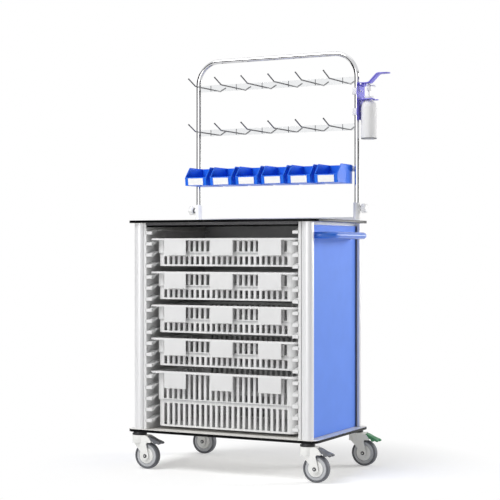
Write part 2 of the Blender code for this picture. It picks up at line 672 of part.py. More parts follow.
def bin_mesh(width):
    """Open-fronted bin hanging by its rear lip, with its top at height 0 and the rail's middle at Y 0."""
    rear = -RAIL_THICKNESS / 2 - SEAT
    front = rear - BIN_DEPTH
    hook_inner = RAIL_THICKNESS / 2 + SEAT
    hook_outer = hook_inner + BIN_WALL
    low = -BIN_HEIGHT
    outline = [(front, low), (rear, low), (rear, -BIN_WALL), (hook_inner, -BIN_WALL),
               (hook_inner, -BIN_WALL - BIN_HOOK_DROP), (hook_outer, -BIN_WALL - BIN_HOOK_DROP), (hook_outer, 0),
               (front + BIN_SLANT_DEPTH, 0), (front, low + BIN_FRONT_HEIGHT)]
    body = prism(outline, "X", -width / 2, width / 2)
    cavity_x = (-width / 2 + BIN_WALL, width / 2 - BIN_WALL)
    cavity = block(cavity_x, (front + BIN_WALL, rear - BIN_WALL), (low + BIN_WALL, BIN_HEIGHT))
    return combine(body, [cavity], "DIFFERENCE")


def build_rack(root, finishes):
    rack = carrier("rack", root, (0, UPRIGHT_Y, 0))
    corners = [(-UPRIGHT_X, 0, RACK_BOTTOM), (-UPRIGHT_X, 0, RACK_TOP), (UPRIGHT_X, 0, RACK_TOP),
               (UPRIGHT_X, 0, RACK_BOTTOM)]
    path = rounded_path(corners, RACK_BEND_RADIUS, BEND_STEPS)
    tube = sweep(path, (0, 1, 0), RACK_TUBE_RADIUS, TUBE_SIDES, RACK_TUBE_WALL)
    place("rack_tube", tube, finishes["chrome"], rack)
    rail = place("hook_rail_upper", hook_rail_mesh(), finishes["chrome"], rack, (0, 0, UPPER_RAIL_Z))
    place_copy("hook_rail_lower", rail, rack, (0, 0, LOWER_RAIL_Z))
    rail_top = BIN_TOP - BIN_WALL - SEAT
    bar = block((-RAIL_HALF_LENGTH, RAIL_HALF_LENGTH), (-RAIL_THICKNESS / 2, RAIL_THICKNESS / 2),
                (rail_top - BIN_RAIL_HEIGHT, rail_top))
    place("bin_rail", bar, finishes["chrome"], rack)
    pitch = 2 * RAIL_HALF_LENGTH / BIN_COUNT
    pattern = None
    for i in range(BIN_COUNT):
        spot = ((i - (BIN_COUNT - 1) / 2) * pitch, 0, BIN_TOP)
        if pattern is None:
            pattern = place("bin_1", bin_mesh(pitch - BIN_GAP), finishes["blue"], rack, spot)
        else:
            place_copy(f"bin_{i + 1}", pattern, rack, spot)
    return rack


def bracket_mesh():
    """Back plate, neck shelf, pivot ears and pivot pin, about the upright's axis."""
    plate_x = (PLATE_INNER_X - UPRIGHT_X, PLATE_OUTER_X - UPRIGHT_X)
    half = BRACKET_WIDTH / 2
    plate = block(plate_x, (-half, half), (PLATE_BOTTOM, PLATE_TOP))
    axis_x = BOTTLE_X - UPRIGHT_X
    neck = NECK_DIAMETER / 2 + 2 * SEAT
    shelf = block((plate_x[0] + SEAT, plate_x[1] + SHELF_LENGTH), (-SHELF_WIDTH / 2, SHELF_WIDTH / 2),
                  (SHELF_TOP - BRACKET_SHEET, SHELF_TOP))
    slot_round = turned([(neck, SHELF_TOP - 2 * BRACKET_SHEET), (neck, SHELF_TOP + BRACKET_SHEET)])
    bmesh.ops.translate(slot_round, vec=(axis_x, 0, 0), verts=slot_round.verts)
    slot_way = block((axis_x, axis_x + SHELF_LENGTH), (-neck, neck),
                     (SHELF_TOP - 2 * BRACKET_SHEET, SHELF_TOP + BRACKET_SHEET))
    shelf = combine(shelf, [slot_round, slot_way], "DIFFERENCE")
    ear_y = LEVER_WIDTH / 2 + SEAT
    pin_x = PIN_X - UPRIGHT_X
    barrel = LEVER_BARREL_DIAMETER / 2
    ear_x = (plate_x[0] + SEAT, pin_x + barrel)
    ear_z = (PIN_Z - barrel, PIN_Z + barrel - SEAT)
    ears = joined([block(ear_x, sorted((side * ear_y, side * (ear_y + EAR_THICKNESS))), ear_z)
                   for side in (-1, 1)])
    pin_half = ear_y + EAR_THICKNESS / 2
    pin = turned([(PIN_DIAMETER / 2, -pin_half), (PIN_DIAMETER / 2, pin_half)], "Y", SHAFT_SEGMENTS)
    bmesh.ops.translate(pin, vec=(pin_x, 0, PIN_Z), verts=pin.verts)
    return combine(plate, [shelf, ears, pin], "UNION")


def clamp_mesh():
    """Block round the upright, bored for the tube."""
    half = RACK_TUBE_RADIUS + CLAMP_WALL
    outline = rounded_outline(2 * half, 2 * half, [CLAMP_WALL] * 4, steps=2)
    body = prism(outline, "Z", -CLAMP_HEIGHT / 2, CLAMP_HEIGHT / 2)
    bore = bore_radius(RACK_TUBE_DIAMETER)
    hole = turned([(bore, -CLAMP_HEIGHT), (bore, CLAMP_HEIGHT)])
    return combine(body, [hole], "DIFFERENCE")


def lever_mesh():
    """Barrel round the pivot pin with the bent elbow sheet on top, about the pin's axis."""
    half = LEVER_WIDTH / 2
    barrel = LEVER_BARREL_DIAMETER / 2
    top = barrel
    under = top - LEVER_SHEET
    wrap = 1.5 * math.pi + math.asin(under / barrel)
    outline = []
    for step in range(SHAFT_SEGMENTS + 1):
        angle = math.pi / 2 + step / SHAFT_SEGMENTS * wrap
        outline.append((barrel * math.cos(angle), barrel * math.sin(angle)))
    slant = math.atan2(LEVER_RISE, LEVER_SLANT) / 2
    shift = LEVER_SHEET * math.tan(slant)
    bend_1 = LEVER_FLAT
    bend_2 = LEVER_FLAT + LEVER_SLANT
    end = bend_2 + LEVER_TIP
    outline += [(bend_1 + shift, under), (bend_2 + shift, under + LEVER_RISE), (end, under + LEVER_RISE),
                (end, top + LEVER_RISE), (bend_2, top + LEVER_RISE), (bend_1, top)]
    bore = bore_radius(PIN_DIAMETER)
    hole = turned([(bore, -LEVER_WIDTH), (bore, LEVER_WIDTH)], "Y", SHAFT_SEGMENTS)
    return combine(prism(outline, "Y", -half, half), [hole], "DIFFERENCE")


def bottle_mesh():
    """Bottle hanging by its collar from the shelf, about its own axis, with the stem's bore in its collar."""
    body, neck, collar = BOTTLE_DIAMETER / 2, NECK_DIAMETER / 2, COLLAR_DIAMETER / 2
    collar_bottom = SHELF_TOP + SEAT
    collar_top = collar_bottom + COLLAR_HEIGHT
    shoulder_top = SHELF_TOP - BRACKET_SHEET - SEAT
    shoulder = shoulder_top - BOTTLE_SHOULDER_HEIGHT
    foot = shoulder - BOTTLE_HEIGHT
    bevel = 2 * BRACKET_SHEET
    rise = BOTTLE_SHOULDER_HEIGHT
    bore = bore_radius(PUMP_STEM_DIAMETER)
    floor = collar_top - PUMP_STEM_DEPTH - PUMP_STROKE - 2 * SEAT
    profile = [(body - bevel, foot), (body, foot + bevel), (body, shoulder),
               (neck + (body - neck) * math.cos(math.radians(35)), shoulder + rise * math.sin(math.radians(35))),
               (neck + (body - neck) * math.cos(math.radians(65)), shoulder + rise * math.sin(math.radians(65))),
               (neck, shoulder_top), (neck, collar_bottom), (collar, collar_bottom), (collar, collar_top),
               (bore, collar_top), (bore, floor)]
    return turned(profile)


def pump_mesh():
    """Pump head with its nozzle and stem, about its own axis."""
    lever_under = PIN_Z + LEVER_BARREL_DIAMETER / 2 - LEVER_SHEET
    top = lever_under - SEAT
    stem_end = SHELF_TOP + SEAT + COLLAR_HEIGHT - PUMP_STEM_DEPTH
    head_top = top - PUMP_DOME_HEIGHT
    head_bottom = head_top - PUMP_HEAD_HEIGHT
    head, stem, dome = PUMP_HEAD_DIAMETER / 2, PUMP_STEM_DIAMETER / 2, PUMP_DOME_DIAMETER / 2
    body = turned([(stem, stem_end), (stem, head_bottom), (head, head_bottom), (head, head_top), (dome, top)],
                  segments=SHAFT_SEGMENTS)
    nozzle_z = (head_top - NOZZLE_HEIGHT - SEAT, head_top - SEAT)
    nozzle = block((0, NOZZLE_LENGTH), (-NOZZLE_WIDTH / 2, NOZZLE_WIDTH / 2), nozzle_z)
    return combine(body, [nozzle], "UNION")


def build_dispenser(rack, finishes):
    place("dispenser_bracket", bracket_mesh(), finishes["violet"], rack, (UPRIGHT_X, 0, 0))
    upper = place("dispenser_clamp_upper", clamp_mesh(), finishes["white"], rack,
                  (UPRIGHT_X, 0, SHELF_TOP + CLAMP_UPPER_RISE))
    place_copy("dispenser_clamp_lower", upper, rack, (UPRIGHT_X, 0, SHELF_TOP - CLAMP_LOWER_DROP))
    place("dispenser_lever", lever_mesh(), finishes["violet"], rack, (PIN_X, 0, PIN_Z))
    place("bottle", bottle_mesh(), finishes["bottle"], rack, (BOTTLE_X, 0, 0))
    place("pump_head", pump_mesh(), finishes["white"], rack, (BOTTLE_X, 0, 0))


def fork_mesh():
    """Round turret, hood and two slanting legs about the swivel axis, open at the rear for a pedal's hub."""
    channel = WHEEL_WIDTH / 2 + WHEEL_SIDE_CLEARANCE
    outside = channel + FORK_LEG_THICKNESS
    foot = FORK_LEG_FOOT_RADIUS
    hood_end = FORK_HOOD_START + FORK_HOOD_REACH
    chin = CROWN_TOP - FORK_TURRET_HEIGHT
    skirt = CROWN_TOP - FORK_HOOD_SKIRT
    outline = [(-FORK_LEG_NOSE, CROWN_TOP), (-FORK_LEG_NOSE, chin + FORK_LEG_THICKNESS)]
    for step in range(2 * CORNER_STEPS + 1):
        angle = math.radians(150 + step / (2 * CORNER_STEPS) * 230)
        outline.append((CASTER_TRAIL + foot * math.cos(angle), AXLE_HEIGHT + foot * math.sin(angle)))
    outline += [(CASTER_TRAIL, skirt), (hood_end, skirt), (hood_end, CROWN_TOP - FORK_HOOD_FALL),
                (FORK_HOOD_START + PEDAL_EAR, CROWN_TOP - PEDAL_PIVOT_DROP / 2), (FORK_HOOD_START, CROWN_TOP)]
    legs = prism(outline, "Y", -outside, outside)
    turret = turned([(FORK_TURRET_DIAMETER / 2, chin), (FORK_TURRET_DIAMETER / 2, CROWN_TOP)])
    body = combine(legs, [turret], "UNION")
    reach = WHEEL_DIAMETER
    arch = turned([(CROWN_BOTTOM - AXLE_HEIGHT, -channel), (CROWN_BOTTOM - AXLE_HEIGHT, channel)], "Y")
    bmesh.ops.translate(arch, vec=(CASTER_TRAIL, 0, AXLE_HEIGHT), verts=arch.verts)
    notch = block((FORK_HOOD_START, FORK_HOOD_START + reach), (-channel, channel), (0, 2 * reach))
    pin_bore = bore_radius(KING_PIN_DIAMETER)
    pin_hole = turned([(pin_bore, 0), (pin_bore, 2 * reach)], segments=SHAFT_SEGMENTS)
    axle_bore = bore_radius(AXLE_DIAMETER)
    axle_hole = turned([(axle_bore, -reach), (axle_bore, reach)], "Y", SHAFT_SEGMENTS)
    bmesh.ops.translate(axle_hole, vec=(CASTER_TRAIL, 0, AXLE_HEIGHT), verts=axle_hole.verts)
    fork = combine(body, [arch, notch, pin_hole, axle_hole], "DIFFERENCE")
    bmesh.ops.remove_doubles(fork, verts=fork.verts, dist=SEAT / 5)
    return fork


def mount_mesh():
    """Bearing housing of two discs under the base board with the king pin below, about the swivel axis."""
    radius, pin, chamfer = MOUNT_DIAMETER / 2, KING_PIN_DIAMETER / 2, MOUNT_CHAMFER
    neck = MOUNT_NECK_DIAMETER / 2
    bottom = CROWN_TOP + SEAT
    top = bottom + MOUNT_HEIGHT
    step = top - MOUNT_NECK_HEIGHT
    return turned([(pin, CROWN_BOTTOM), (pin, bottom), (radius - chamfer, bottom), (radius, bottom + chamfer),
                   (radius, step - chamfer), (radius - chamfer, step), (neck, step), (neck, top)],
                  segments=TURN_SEGMENTS)


def wheel_mesh():
    """Wheel about its axle with a flat facet on the ground."""
    half = WHEEL_WIDTH / 2
    tread = WHEEL_DIAMETER / 2 / math.cos(math.pi / TURN_SEGMENTS)
    shoulder = tread - TREAD_SHOULDER
    hub = HUB_DIAMETER / 2
    bore = bore_radius(AXLE_DIAMETER)
    side = [(bore, half), (hub, half - HUB_RECESS), (shoulder, half), (tread, half - TREAD_SHOULDER)]
    profile = [(radius, -along) for radius, along in side] + side[::-1]
    phase = math.pi / TURN_SEGMENTS + math.pi / 2
    return turned(profile, "Y", TURN_SEGMENTS, phase, capped=False)


def axle_mesh():
    outside = WHEEL_WIDTH / 2 + WHEEL_SIDE_CLEARANCE + FORK_LEG_THICKNESS + SEAT
    head, shaft = AXLE_HEAD_DIAMETER / 2, AXLE_DIAMETER / 2
    end = outside + AXLE_HEAD_HEIGHT
    return turned([(head, -end), (head, -outside), (shaft, -outside), (shaft, outside), (head, outside),
                   (head, end)], "Y", SHAFT_SEGMENTS)


def pedal_mesh():
    """Pedal about its hub between the fork's ears: a brake shoe below it and a broad notched toe behind."""
    half = WHEEL_WIDTH / 2 + WHEEL_SIDE_CLEARANCE - SEAT
    hub = PEDAL_HUB_DIAMETER / 2
    side = []
    for step in range(CORNER_STEPS + 1):
        angle = math.pi / 2 + step / CORNER_STEPS * math.pi
        side.append((hub * math.cos(angle), hub * math.sin(angle)))
    slope = (PEDAL_DROP + PEDAL_THICKNESS / 2 - hub) / PEDAL_LENGTH
    shoe_start = PEDAL_SHOE_REACH - PEDAL_SHOE_LENGTH / 2
    shoe_end = PEDAL_SHOE_REACH + PEDAL_SHOE_LENGTH / 2
    side += [(shoe_start - 0.3 * PEDAL_SHOE_LENGTH, -hub - slope * shoe_start), (shoe_start, -PEDAL_SHOE_DROP + 0.002),
             (PEDAL_SHOE_REACH, -PEDAL_SHOE_DROP), (shoe_end, -PEDAL_SHOE_DROP + 0.003),
             (shoe_end + 0.2 * PEDAL_SHOE_LENGTH, -hub - slope * shoe_end),
             (PEDAL_LENGTH - PEDAL_THICKNESS / 2, -PEDAL_DROP - PEDAL_THICKNESS / 2), (PEDAL_LENGTH, -PEDAL_DROP),
             (PEDAL_LENGTH - PEDAL_THICKNESS / 2, -PEDAL_DROP + PEDAL_THICKNESS / 2), (hub, hub - slope * hub)]
    toe, wide = PEDAL_LENGTH - PEDAL_TOE_LENGTH, PEDAL_TOE_WIDTH / 2
    plan = [(-2 * hub, -half), (toe - (wide - half), -half), (toe, -wide), (2 * PEDAL_LENGTH, -wide),
            (2 * PEDAL_LENGTH, wide), (toe, wide), (toe - (wide - half), half), (-2 * hub, half)]
    body = combine(prism(side, "Y", -2 * wide, 2 * wide), [prism(plan, "Z", -2 * PEDAL_LENGTH, 2 * PEDAL_LENGTH)],
                   "INTERSECT")
    notch = prism([(PEDAL_LENGTH - PEDAL_TOE_NOTCH, 0), (2 * PEDAL_LENGTH, -half - PEDAL_LENGTH),
                   (2 * PEDAL_LENGTH, half + PEDAL_LENGTH)], "Z", -2 * PEDAL_LENGTH, 2 * PEDAL_LENGTH)
    return combine(body, [notch], "DIFFERENCE")


def build_casters(root, finishes):
    patterns = {}
    swivel_x = BOARD_HALF_WIDTH - CASTER_SIDE_INSET
    swivel_y = BOARD_HALF_DEPTH - CASTER_FRONT_INSET
    pivot_x = FORK_HOOD_START + PEDAL_EAR
    pivot_z = CROWN_TOP - PEDAL_PIVOT_DROP
    pedals = {"front_left": "brake_pedal", "front_right": "brake_pedal", "rear_right": "lock_pedal"}
    spots = {"front_left": (-1, -1), "front_right": (1, -1), "rear_left": (-1, 1), "rear_right": (1, 1)}
    axle_spot = (CASTER_TRAIL, 0, AXLE_HEIGHT)
    for corner, (side_x, end_y) in spots.items():
        swivel = carrier(f"swivel_{corner}", root, (side_x * swivel_x, end_y * swivel_y, 0))
        pieces = [("caster_mount", mount_mesh, "dark", (0, 0, 0)), ("fork", fork_mesh, "fork", (0, 0, 0)),
                  ("axle", axle_mesh, "steel", axle_spot), ("wheel", wheel_mesh, "tread", axle_spot)]
        if corner in pedals:
            colour = "green" if pedals[corner] == "lock_pedal" else "slate"
            pieces.append((pedals[corner], pedal_mesh, colour, (pivot_x, 0, pivot_z)))
        for kind, make, colour, spot in pieces:
            name = f"{kind}_{corner}"
            if kind in patterns:
                place_copy(name, patterns[kind], swivel, spot)
            else:
                patterns[kind] = place(name, make(), finishes[colour], swivel, spot)


def centre_on_floor(root):
    """Move the root so that the bottom centre of the whole box is at the origin."""
    bpy.context.view_layer.update()
    corners = [item.matrix_world @ vertex.co for item in bpy.data.objects if item.type == "MESH"
               for vertex in item.data.vertices]
    low = [min(corner[i] for corner in corners) for i in range(3)]
    high = [max(corner[i] for corner in corners) for i in range(3)]
    middle = Vector(((low[0] + high[0]) / 2, (low[1] + high[1]) / 2, low[2]))
    root.matrix_world = Matrix.Translation(-middle)


def main():
    clear_scene()
    finishes = {
        "laminate": finish("laminate", (0.80, 0.80, 0.78), 0.35),
        "white": finish("white plastic", (0.82, 0.82, 0.82), 0.45),
        "grey": finish("grey sheet", (0.30, 0.30, 0.31), 0.50),
        "dark": finish("dark grey", (0.05, 0.05, 0.055), 0.45),
        "aluminium": finish("satin aluminium", (0.72, 0.72, 0.72), 0.35, 0.6),
        "blue_panel": finish("blue laminate", (0.17, 0.31, 0.82), 0.40),
        "blue": finish("blue plastic", (0.01, 0.10, 0.72), 0.30),
        "chrome": finish("chrome", (0.85, 0.85, 0.86), 0.08, 1.0),
        "violet": finish("violet powder coat", (0.22, 0.20, 0.75), 0.40),
        "bottle": finish("bottle", (0.78, 0.78, 0.78), 0.35),
        "fork": finish("pale fork", (0.75, 0.76, 0.74), 0.40),
        "steel": finish("bright steel", (0.60, 0.60, 0.60), 0.25, 1.0),
        "tread": finish("grey rubber", (0.12, 0.125, 0.14), 0.60),
        "slate": finish("slate plastic", (0.13, 0.135, 0.15), 0.50),
        "green": finish("green plastic", (0.04, 0.24, 0.09), 0.45),
    }
    root = carrier("trolley")
    build_casters(root, finishes)
    build_boards(root, finishes)
    build_posts(root, finishes)
    build_walls(root, finishes)
    build_runners(root, finishes)
    build_baskets(root, finishes)
    build_handle(root, finishes)
    build_sockets(root, finishes)
    rack = build_rack(root, finishes)
    build_dispenser(rack, finishes)
    centre_on_floor(root)


main()
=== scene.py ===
"""Looks of the medication trolley: detailed pieces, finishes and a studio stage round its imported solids."""

import math

import bmesh
import bpy
from bpy.props import FloatProperty, FloatVectorProperty, IntProperty, PointerProperty
from mathutils import Matrix, Vector


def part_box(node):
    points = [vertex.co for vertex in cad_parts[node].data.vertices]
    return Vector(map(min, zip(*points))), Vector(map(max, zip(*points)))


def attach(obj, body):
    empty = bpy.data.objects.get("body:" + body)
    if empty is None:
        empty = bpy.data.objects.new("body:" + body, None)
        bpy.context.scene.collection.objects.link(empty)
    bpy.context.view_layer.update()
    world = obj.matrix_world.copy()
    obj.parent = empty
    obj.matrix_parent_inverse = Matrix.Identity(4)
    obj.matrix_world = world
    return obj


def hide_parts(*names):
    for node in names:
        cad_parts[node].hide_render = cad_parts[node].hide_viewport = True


bl_info = {
    "name": "Medication Trolley Looks",
    "version": (1, 0, 0),
    "blender": (4, 5, 0),
    "location": "3D View > Sidebar > Trolley",
    "description": "Dresses the medication trolley with detailed pieces, finishes and a studio stage",
    "category": "Object",
}


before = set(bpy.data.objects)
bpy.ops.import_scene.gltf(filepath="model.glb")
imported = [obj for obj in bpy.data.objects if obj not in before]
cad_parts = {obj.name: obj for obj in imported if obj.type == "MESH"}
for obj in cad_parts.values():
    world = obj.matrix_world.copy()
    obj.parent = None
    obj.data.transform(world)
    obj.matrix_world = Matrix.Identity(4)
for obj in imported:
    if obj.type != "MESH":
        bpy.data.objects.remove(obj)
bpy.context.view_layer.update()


def middle_of(node):
    low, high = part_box(node)
    return (low + high) / 2


MIDDLE = middle_of("worktop")
CORNERS = ("front_left", "front_right", "rear_left", "rear_right")
SIDES = (("left", -1), ("right", 1))
BOTH_WAYS = (-1, 1)
QUARTERS = ((-1, -1), (1, -1), (1, 1), (-1, 1))
WHOLE_TURN = 2 * math.pi
# Clearance between pieces that meet
GAP = 0.0003
# Rounds on flat bars, on thin mouldings and on small trim
BAR_ROUND, FINE_ROUND, TRIM_ROUND = 0.0007, 0.0006, 0.0003
# Thickness of the dispenser's sheet, and radius of the bore round the rack's tube
SHEET, BORE = 0.003, 0.0094
# From a caster's swivel axis to its axle, and the pedals with their colours
TRAIL = 0.034
PEDALS = {"front_left": ("brake_pedal", "slate"), "front_right": ("brake_pedal", "slate"),
          "rear_right": ("lock_pedal", "green")}


def length(label, words, default):
    return FloatProperty(name=label, description=words, default=default, unit="LENGTH", precision=4)


def count(label, words, default):
    return IntProperty(name=label, description=words, default=default, min=1)


def colour(label, words, default):
    return FloatVectorProperty(name=label, description=words, default=default, size=3, subtype="COLOR",
                               min=0.0, max=1.0)


def angle(label, words, degrees):
    return FloatProperty(name=label, description=words, default=math.radians(degrees), unit="ROTATION")


class TrolleySizes(bpy.types.PropertyGroup):
    """Sizes of the detail that the solids leave out."""

    edge_round: length("Edge round", "Round on moulded and sheet edges", 0.0010)
    board_round: length("Board round", "Round on the boards' dark edges", 0.0007)
    board_corner: length("Board corner", "Plan radius of the boards' corners", 0.030)
    post_corner: length("Post corner", "Radius of the posts' outer corner", 0.017)
    post_shoulder: length("Post shoulder", "Radius of the posts' inner shoulder", 0.0195)
    post_groove: length("Post groove", "Depth of the line along the posts", 0.0009)
    ledge_pitch: length("Ledge pitch", "Distance between runner ledges", 0.040)
    ledge_count: count("Ledges", "Ledges on each runner panel", 18)
    ledge_rise: length("Ledge rise", "Height of the track above the front tab", 0.008)
    ledge_tab: length("Ledge tab", "Length of the flat front tab", 0.008)
    ledge_ramp: length("Ledge ramp", "Length of the ramp behind the tab", 0.032)
    rim: length("Basket rim", "Width of the basket's rim", 0.020)
    rim_thickness: length("Rim thickness", "Thickness of the basket's rim", 0.0065)
    basket_wall: length("Basket wall", "Wall of the basket", 0.003)
    basket_corner: length("Basket corner", "Plan radius of the basket's corners", 0.025)
    step_in: length("Step", "How far the basket's lower wall steps in", 0.0035)
    slot_pitch: length("Slot pitch", "Distance between the basket's slots", 0.022)
    slot_width: length("Slot width", "Width of a slot", 0.012)
    bar_depth: length("Bar depth", "Depth of the bars between the slots", 0.0085)
    slots_wide: count("Slots across", "Slots in the front wall", 23)
    slots_deep: count("Slots deep", "Slots in a side wall", 13)
    label_pitch: length("Holder pitch", "Distance between label holders", 0.190)
    label_width: length("Holder width", "Width of a label holder", 0.090)
    label_height: length("Holder height", "Height of a label holder", 0.0575)
    hook_count: count("Hooks", "Hooks on each rail", 6)
    wire: length("Hook wire", "Diameter of the hooks' wire", 0.0050)
    bin_wall: length("Bin wall", "Wall of the bins", 0.0025)
    bin_front: length("Bin front", "Height of the bins' front wall", 0.029)
    bin_slant: length("Bin slant", "Depth of the slanted side edge", 0.036)


class TrolleyColours(bpy.types.PropertyGroup):
    """Colours of the finishes, each under its finish's name."""

    laminate: colour("Board face", "Pale face of the boards", (0.86, 0.845, 0.81))
    edge: colour("Board edge", "Dark core at the boards' edges", (0.003, 0.003, 0.0035))
    white: colour("White", "White moulded plastic", (0.78, 0.78, 0.78))
    sheet: colour("White sheet", "White walls and rear lip", (0.78, 0.78, 0.78))
    aluminium: colour("Aluminium", "Satin posts", (0.82, 0.82, 0.83))
    panel: colour("Panel blue", "Side panels", (0.150, 0.290, 0.84))
    handle: colour("Handle blue", "Push handle", (0.011, 0.135, 0.66))
    bin: colour("Bin blue", "Hanging bins", (0.015, 0.155, 0.82))
    violet: colour("Violet", "Dispenser bracket and lever", (0.16, 0.14, 0.66))
    chrome: colour("Chrome", "Rack tube", (0.64, 0.64, 0.65))
    satin: colour("Satin steel", "Rail of the bins", (0.80, 0.80, 0.80))
    clear: colour("Clear", "Clear strips of the hook rails", (0.88, 0.89, 0.90))
    wire: colour("Wire", "Steel wire of the hooks", (0.11, 0.11, 0.115))
    bottle: colour("Bottle", "Dispenser bottle", (0.78, 0.78, 0.77))
    fork: colour("Fork", "Pale caster forks", (0.88, 0.88, 0.86))
    tread: colour("Tread", "Grey tyres", (0.135, 0.140, 0.155))
    # Dark grey also paints the shade in the clamps' splits
    dark: colour("Dark grey", "Caster mounts, axle caps and knob hubs", (0.030, 0.030, 0.033))
    slate: colour("Slate", "Brake pedals", (0.13, 0.135, 0.15))
    green: colour("Green", "Direction lock pedal", (0.045, 0.24, 0.095))
    rim: colour("Wheel rim", "Sunken rims of the wheels", (0.55, 0.56, 0.58))
    # Rail grey also colours the painted shadow strip along each side panel's rear edge
    rail: colour("Rail grey", "Grey strip under the worktop", (0.075, 0.075, 0.080))
    # The back sheet is coloured grey, darker than the white walls, to paint in the shade deep inside the cabinet
    back: colour("Back", "Grey back sheet", (0.52, 0.52, 0.53))
    card: colour("Label card", "Bare cards on the baskets", (0.74, 0.74, 0.74))
    bin_card: colour("Bin card", "Bare cards on the bins", (0.90, 0.90, 0.90))
    pale: colour("Pale grey", "Rack sockets and clamp knobs", (0.90, 0.90, 0.89))
    steel: colour("Steel", "Screws, pins and axles", (0.58, 0.58, 0.58))


class TrolleyStage(bpy.types.PropertyGroup):
    """Camera and light."""

    camera_offset: FloatVectorProperty(name="Camera", description="Camera from the floor under the worktop's middle",
                                       default=(2.3525, -4.5556, 0.7955), size=3, unit="LENGTH")
    camera_turn: angle("Turn", "Camera's turn to the left", 27.2572)
    camera_tilt: angle("Tilt", "Camera's tilt above level", -0.0263)
    lens: FloatProperty(name="Lens", description="Focal length in millimetres", default=100.69, min=1.0)
    ambient: FloatProperty(name="Ambient", description="Strength of the even light", default=0.25, min=0.0)
    key: FloatProperty(name="Key", description="Strength that every lamp's share is taken from", default=1.25, min=0.0)
    shadow: FloatProperty(name="Floor shade", description="Share of the floor's white that shadows take away",
                          default=0.80, min=0.0, max=1.0)


# Objects and meshes

def linked(name, data):
    item = bpy.data.objects.new(name, data)
    bpy.context.collection.objects.link(item)
    return item


def drop(item):
    mesh = item.data
    bpy.data.objects.remove(item)
    bpy.data.meshes.remove(mesh)


def to_mesh(shape, name="shape"):
    """Mesh of an editable shape; a mesh stays as it is."""
    if isinstance(shape, bpy.types.Mesh):
        return shape
    mesh = bpy.data.meshes.new(name)
    shape.to_mesh(mesh)
    shape.free()
    return mesh


def take_in(mesh, shape=None):
    """Move a mesh into an editable shape, a new one unless it is given."""
    shape = bmesh.new() if shape is None else shape
    shape.from_mesh(mesh)
    bpy.data.meshes.remove(mesh)
    return shape


def applied(item, modifier):
    """Plain mesh that an object's modifier makes."""
    graph = bpy.context.evaluated_depsgraph_get()
    made = bpy.data.meshes.new_from_object(item.evaluated_get(graph), depsgraph=graph)
    item.modifiers.remove(modifier)
    return made


# Shapes

def skin(loops, capped=True, smooth=True):
    """Skin through loops of as many points, capped at both ends or closed into a ring."""
    mesh = bmesh.new()
    rings = [[mesh.verts.new(point) for point in loop] for loop in loops]
    points = len(rings[0])
    pairs = list(zip(rings, rings[1:]))
    if not capped:
        pairs.append((rings[-1], rings[0]))
    for lower, upper in pairs:
        for i in range(points):
            j = (i + 1) % points
            mesh.faces.new((lower[i], lower[j], upper[j], upper[i])).smooth = smooth
    if capped:
        mesh.faces.new(rings[0])
        mesh.faces.new(rings[-1])
    bmesh.ops.recalc_face_normals(mesh, faces=mesh.faces)
    return mesh


def on_axis(axis, u, v, along):
    return {"X": (along, u, v), "Y": (u, along, v), "Z": (u, v, along)}[axis]


def extrude(points, axis, low, high, smooth=False):
    return skin([[on_axis(axis, u, v, at) for u, v in points] for at in (low, high)], smooth=smooth)


def tube_wall(outer, inner, low, high):
    """Open-ended upright extrusion between an outer and an inner outline."""
    loops = [(outer, low), (outer, high), (inner, high), (inner, low)]
    return skin([[(u, v, at) for u, v in line] for line, at in loops], capped=False)


def slab(low, high):
    points = [(low[0], low[1]), (high[0], low[1]), (high[0], high[1]), (low[0], high[1])]
    return extrude(points, "Z", low[2], high[2])


def block(low, high, round_):
    return soften(slab(low, high), round_)


def round_rectangle(width, depth, radii, steps=8):
    """Rectangle about the origin with one radius, or one for each corner from -X -Y round to -X +Y."""
    radii = radii if isinstance(radii, list) else [radii] * 4
    points = []
    for index, (side_x, side_y) in enumerate(QUARTERS):
        radius = max(radii[index], 1e-5)
        for step in range(steps + 1):
            turned = math.pi + (index + step / steps) * math.pi / 2
            points.append((side_x * (width / 2 - radius) + radius * math.cos(turned),
                           side_y * (depth / 2 - radius) + radius * math.sin(turned)))
    return points


def turn(profile, axis="Z", sides=48, capped=True):
    """Solid of revolution from (radius, along) points; not capped closes the profile into a ring."""
    turns = [WHOLE_TURN * i / sides for i in range(sides)]
    return skin([[on_axis(axis, radius * math.cos(a), radius * math.sin(a), along) for a in turns]
                 for radius, along in profile], capped)


def arc(centre, radius, start, stop, steps):
    turns = [math.radians(start + (stop - start) * i / steps) for i in range(steps + 1)]
    return [(centre[0] + radius * math.cos(a), centre[1] + radius * math.sin(a)) for a in turns]


def soften(mesh, width, sharpest=40):
    """Round the edges sharper than some degrees; a face with no gentle bend beside it stays flat."""
    gentle_from, gentle_to, same_way = 0.008, 0.6, 0.9999
    mesh.normal_update()
    bends = {edge: edge.calc_face_angle() for edge in mesh.edges if len(edge.link_faces) == 2}
    for face in mesh.faces:
        face.smooth = any(gentle_from < bends.get(edge, 0) < gentle_to for edge in face.edges)
    flats = {tuple(round(value, 3) for value in face.normal) for face in mesh.faces if not face.smooth}
    flats = [Vector(normal).normalized() for normal in flats]
    sharp = [edge for edge, bend in bends.items() if bend > math.radians(sharpest)]
    made = bmesh.ops.bevel(mesh, geom=sharp, offset=width, segments=2, profile=0.5, affect="EDGES",
                           clamp_overlap=True)
    mesh.normal_update()
    for face in made["faces"]:
        face.smooth = not any(face.normal.dot(flat) > same_way for flat in flats)
    return mesh


def shift(mesh, offset):
    bmesh.ops.translate(mesh, vec=offset, verts=mesh.verts)
    return mesh


def spin_round(mesh, turned, axis="Z"):
    bmesh.ops.rotate(mesh, cent=(0, 0, 0), matrix=Matrix.Rotation(turned, 3, axis), verts=mesh.verts)
    return mesh


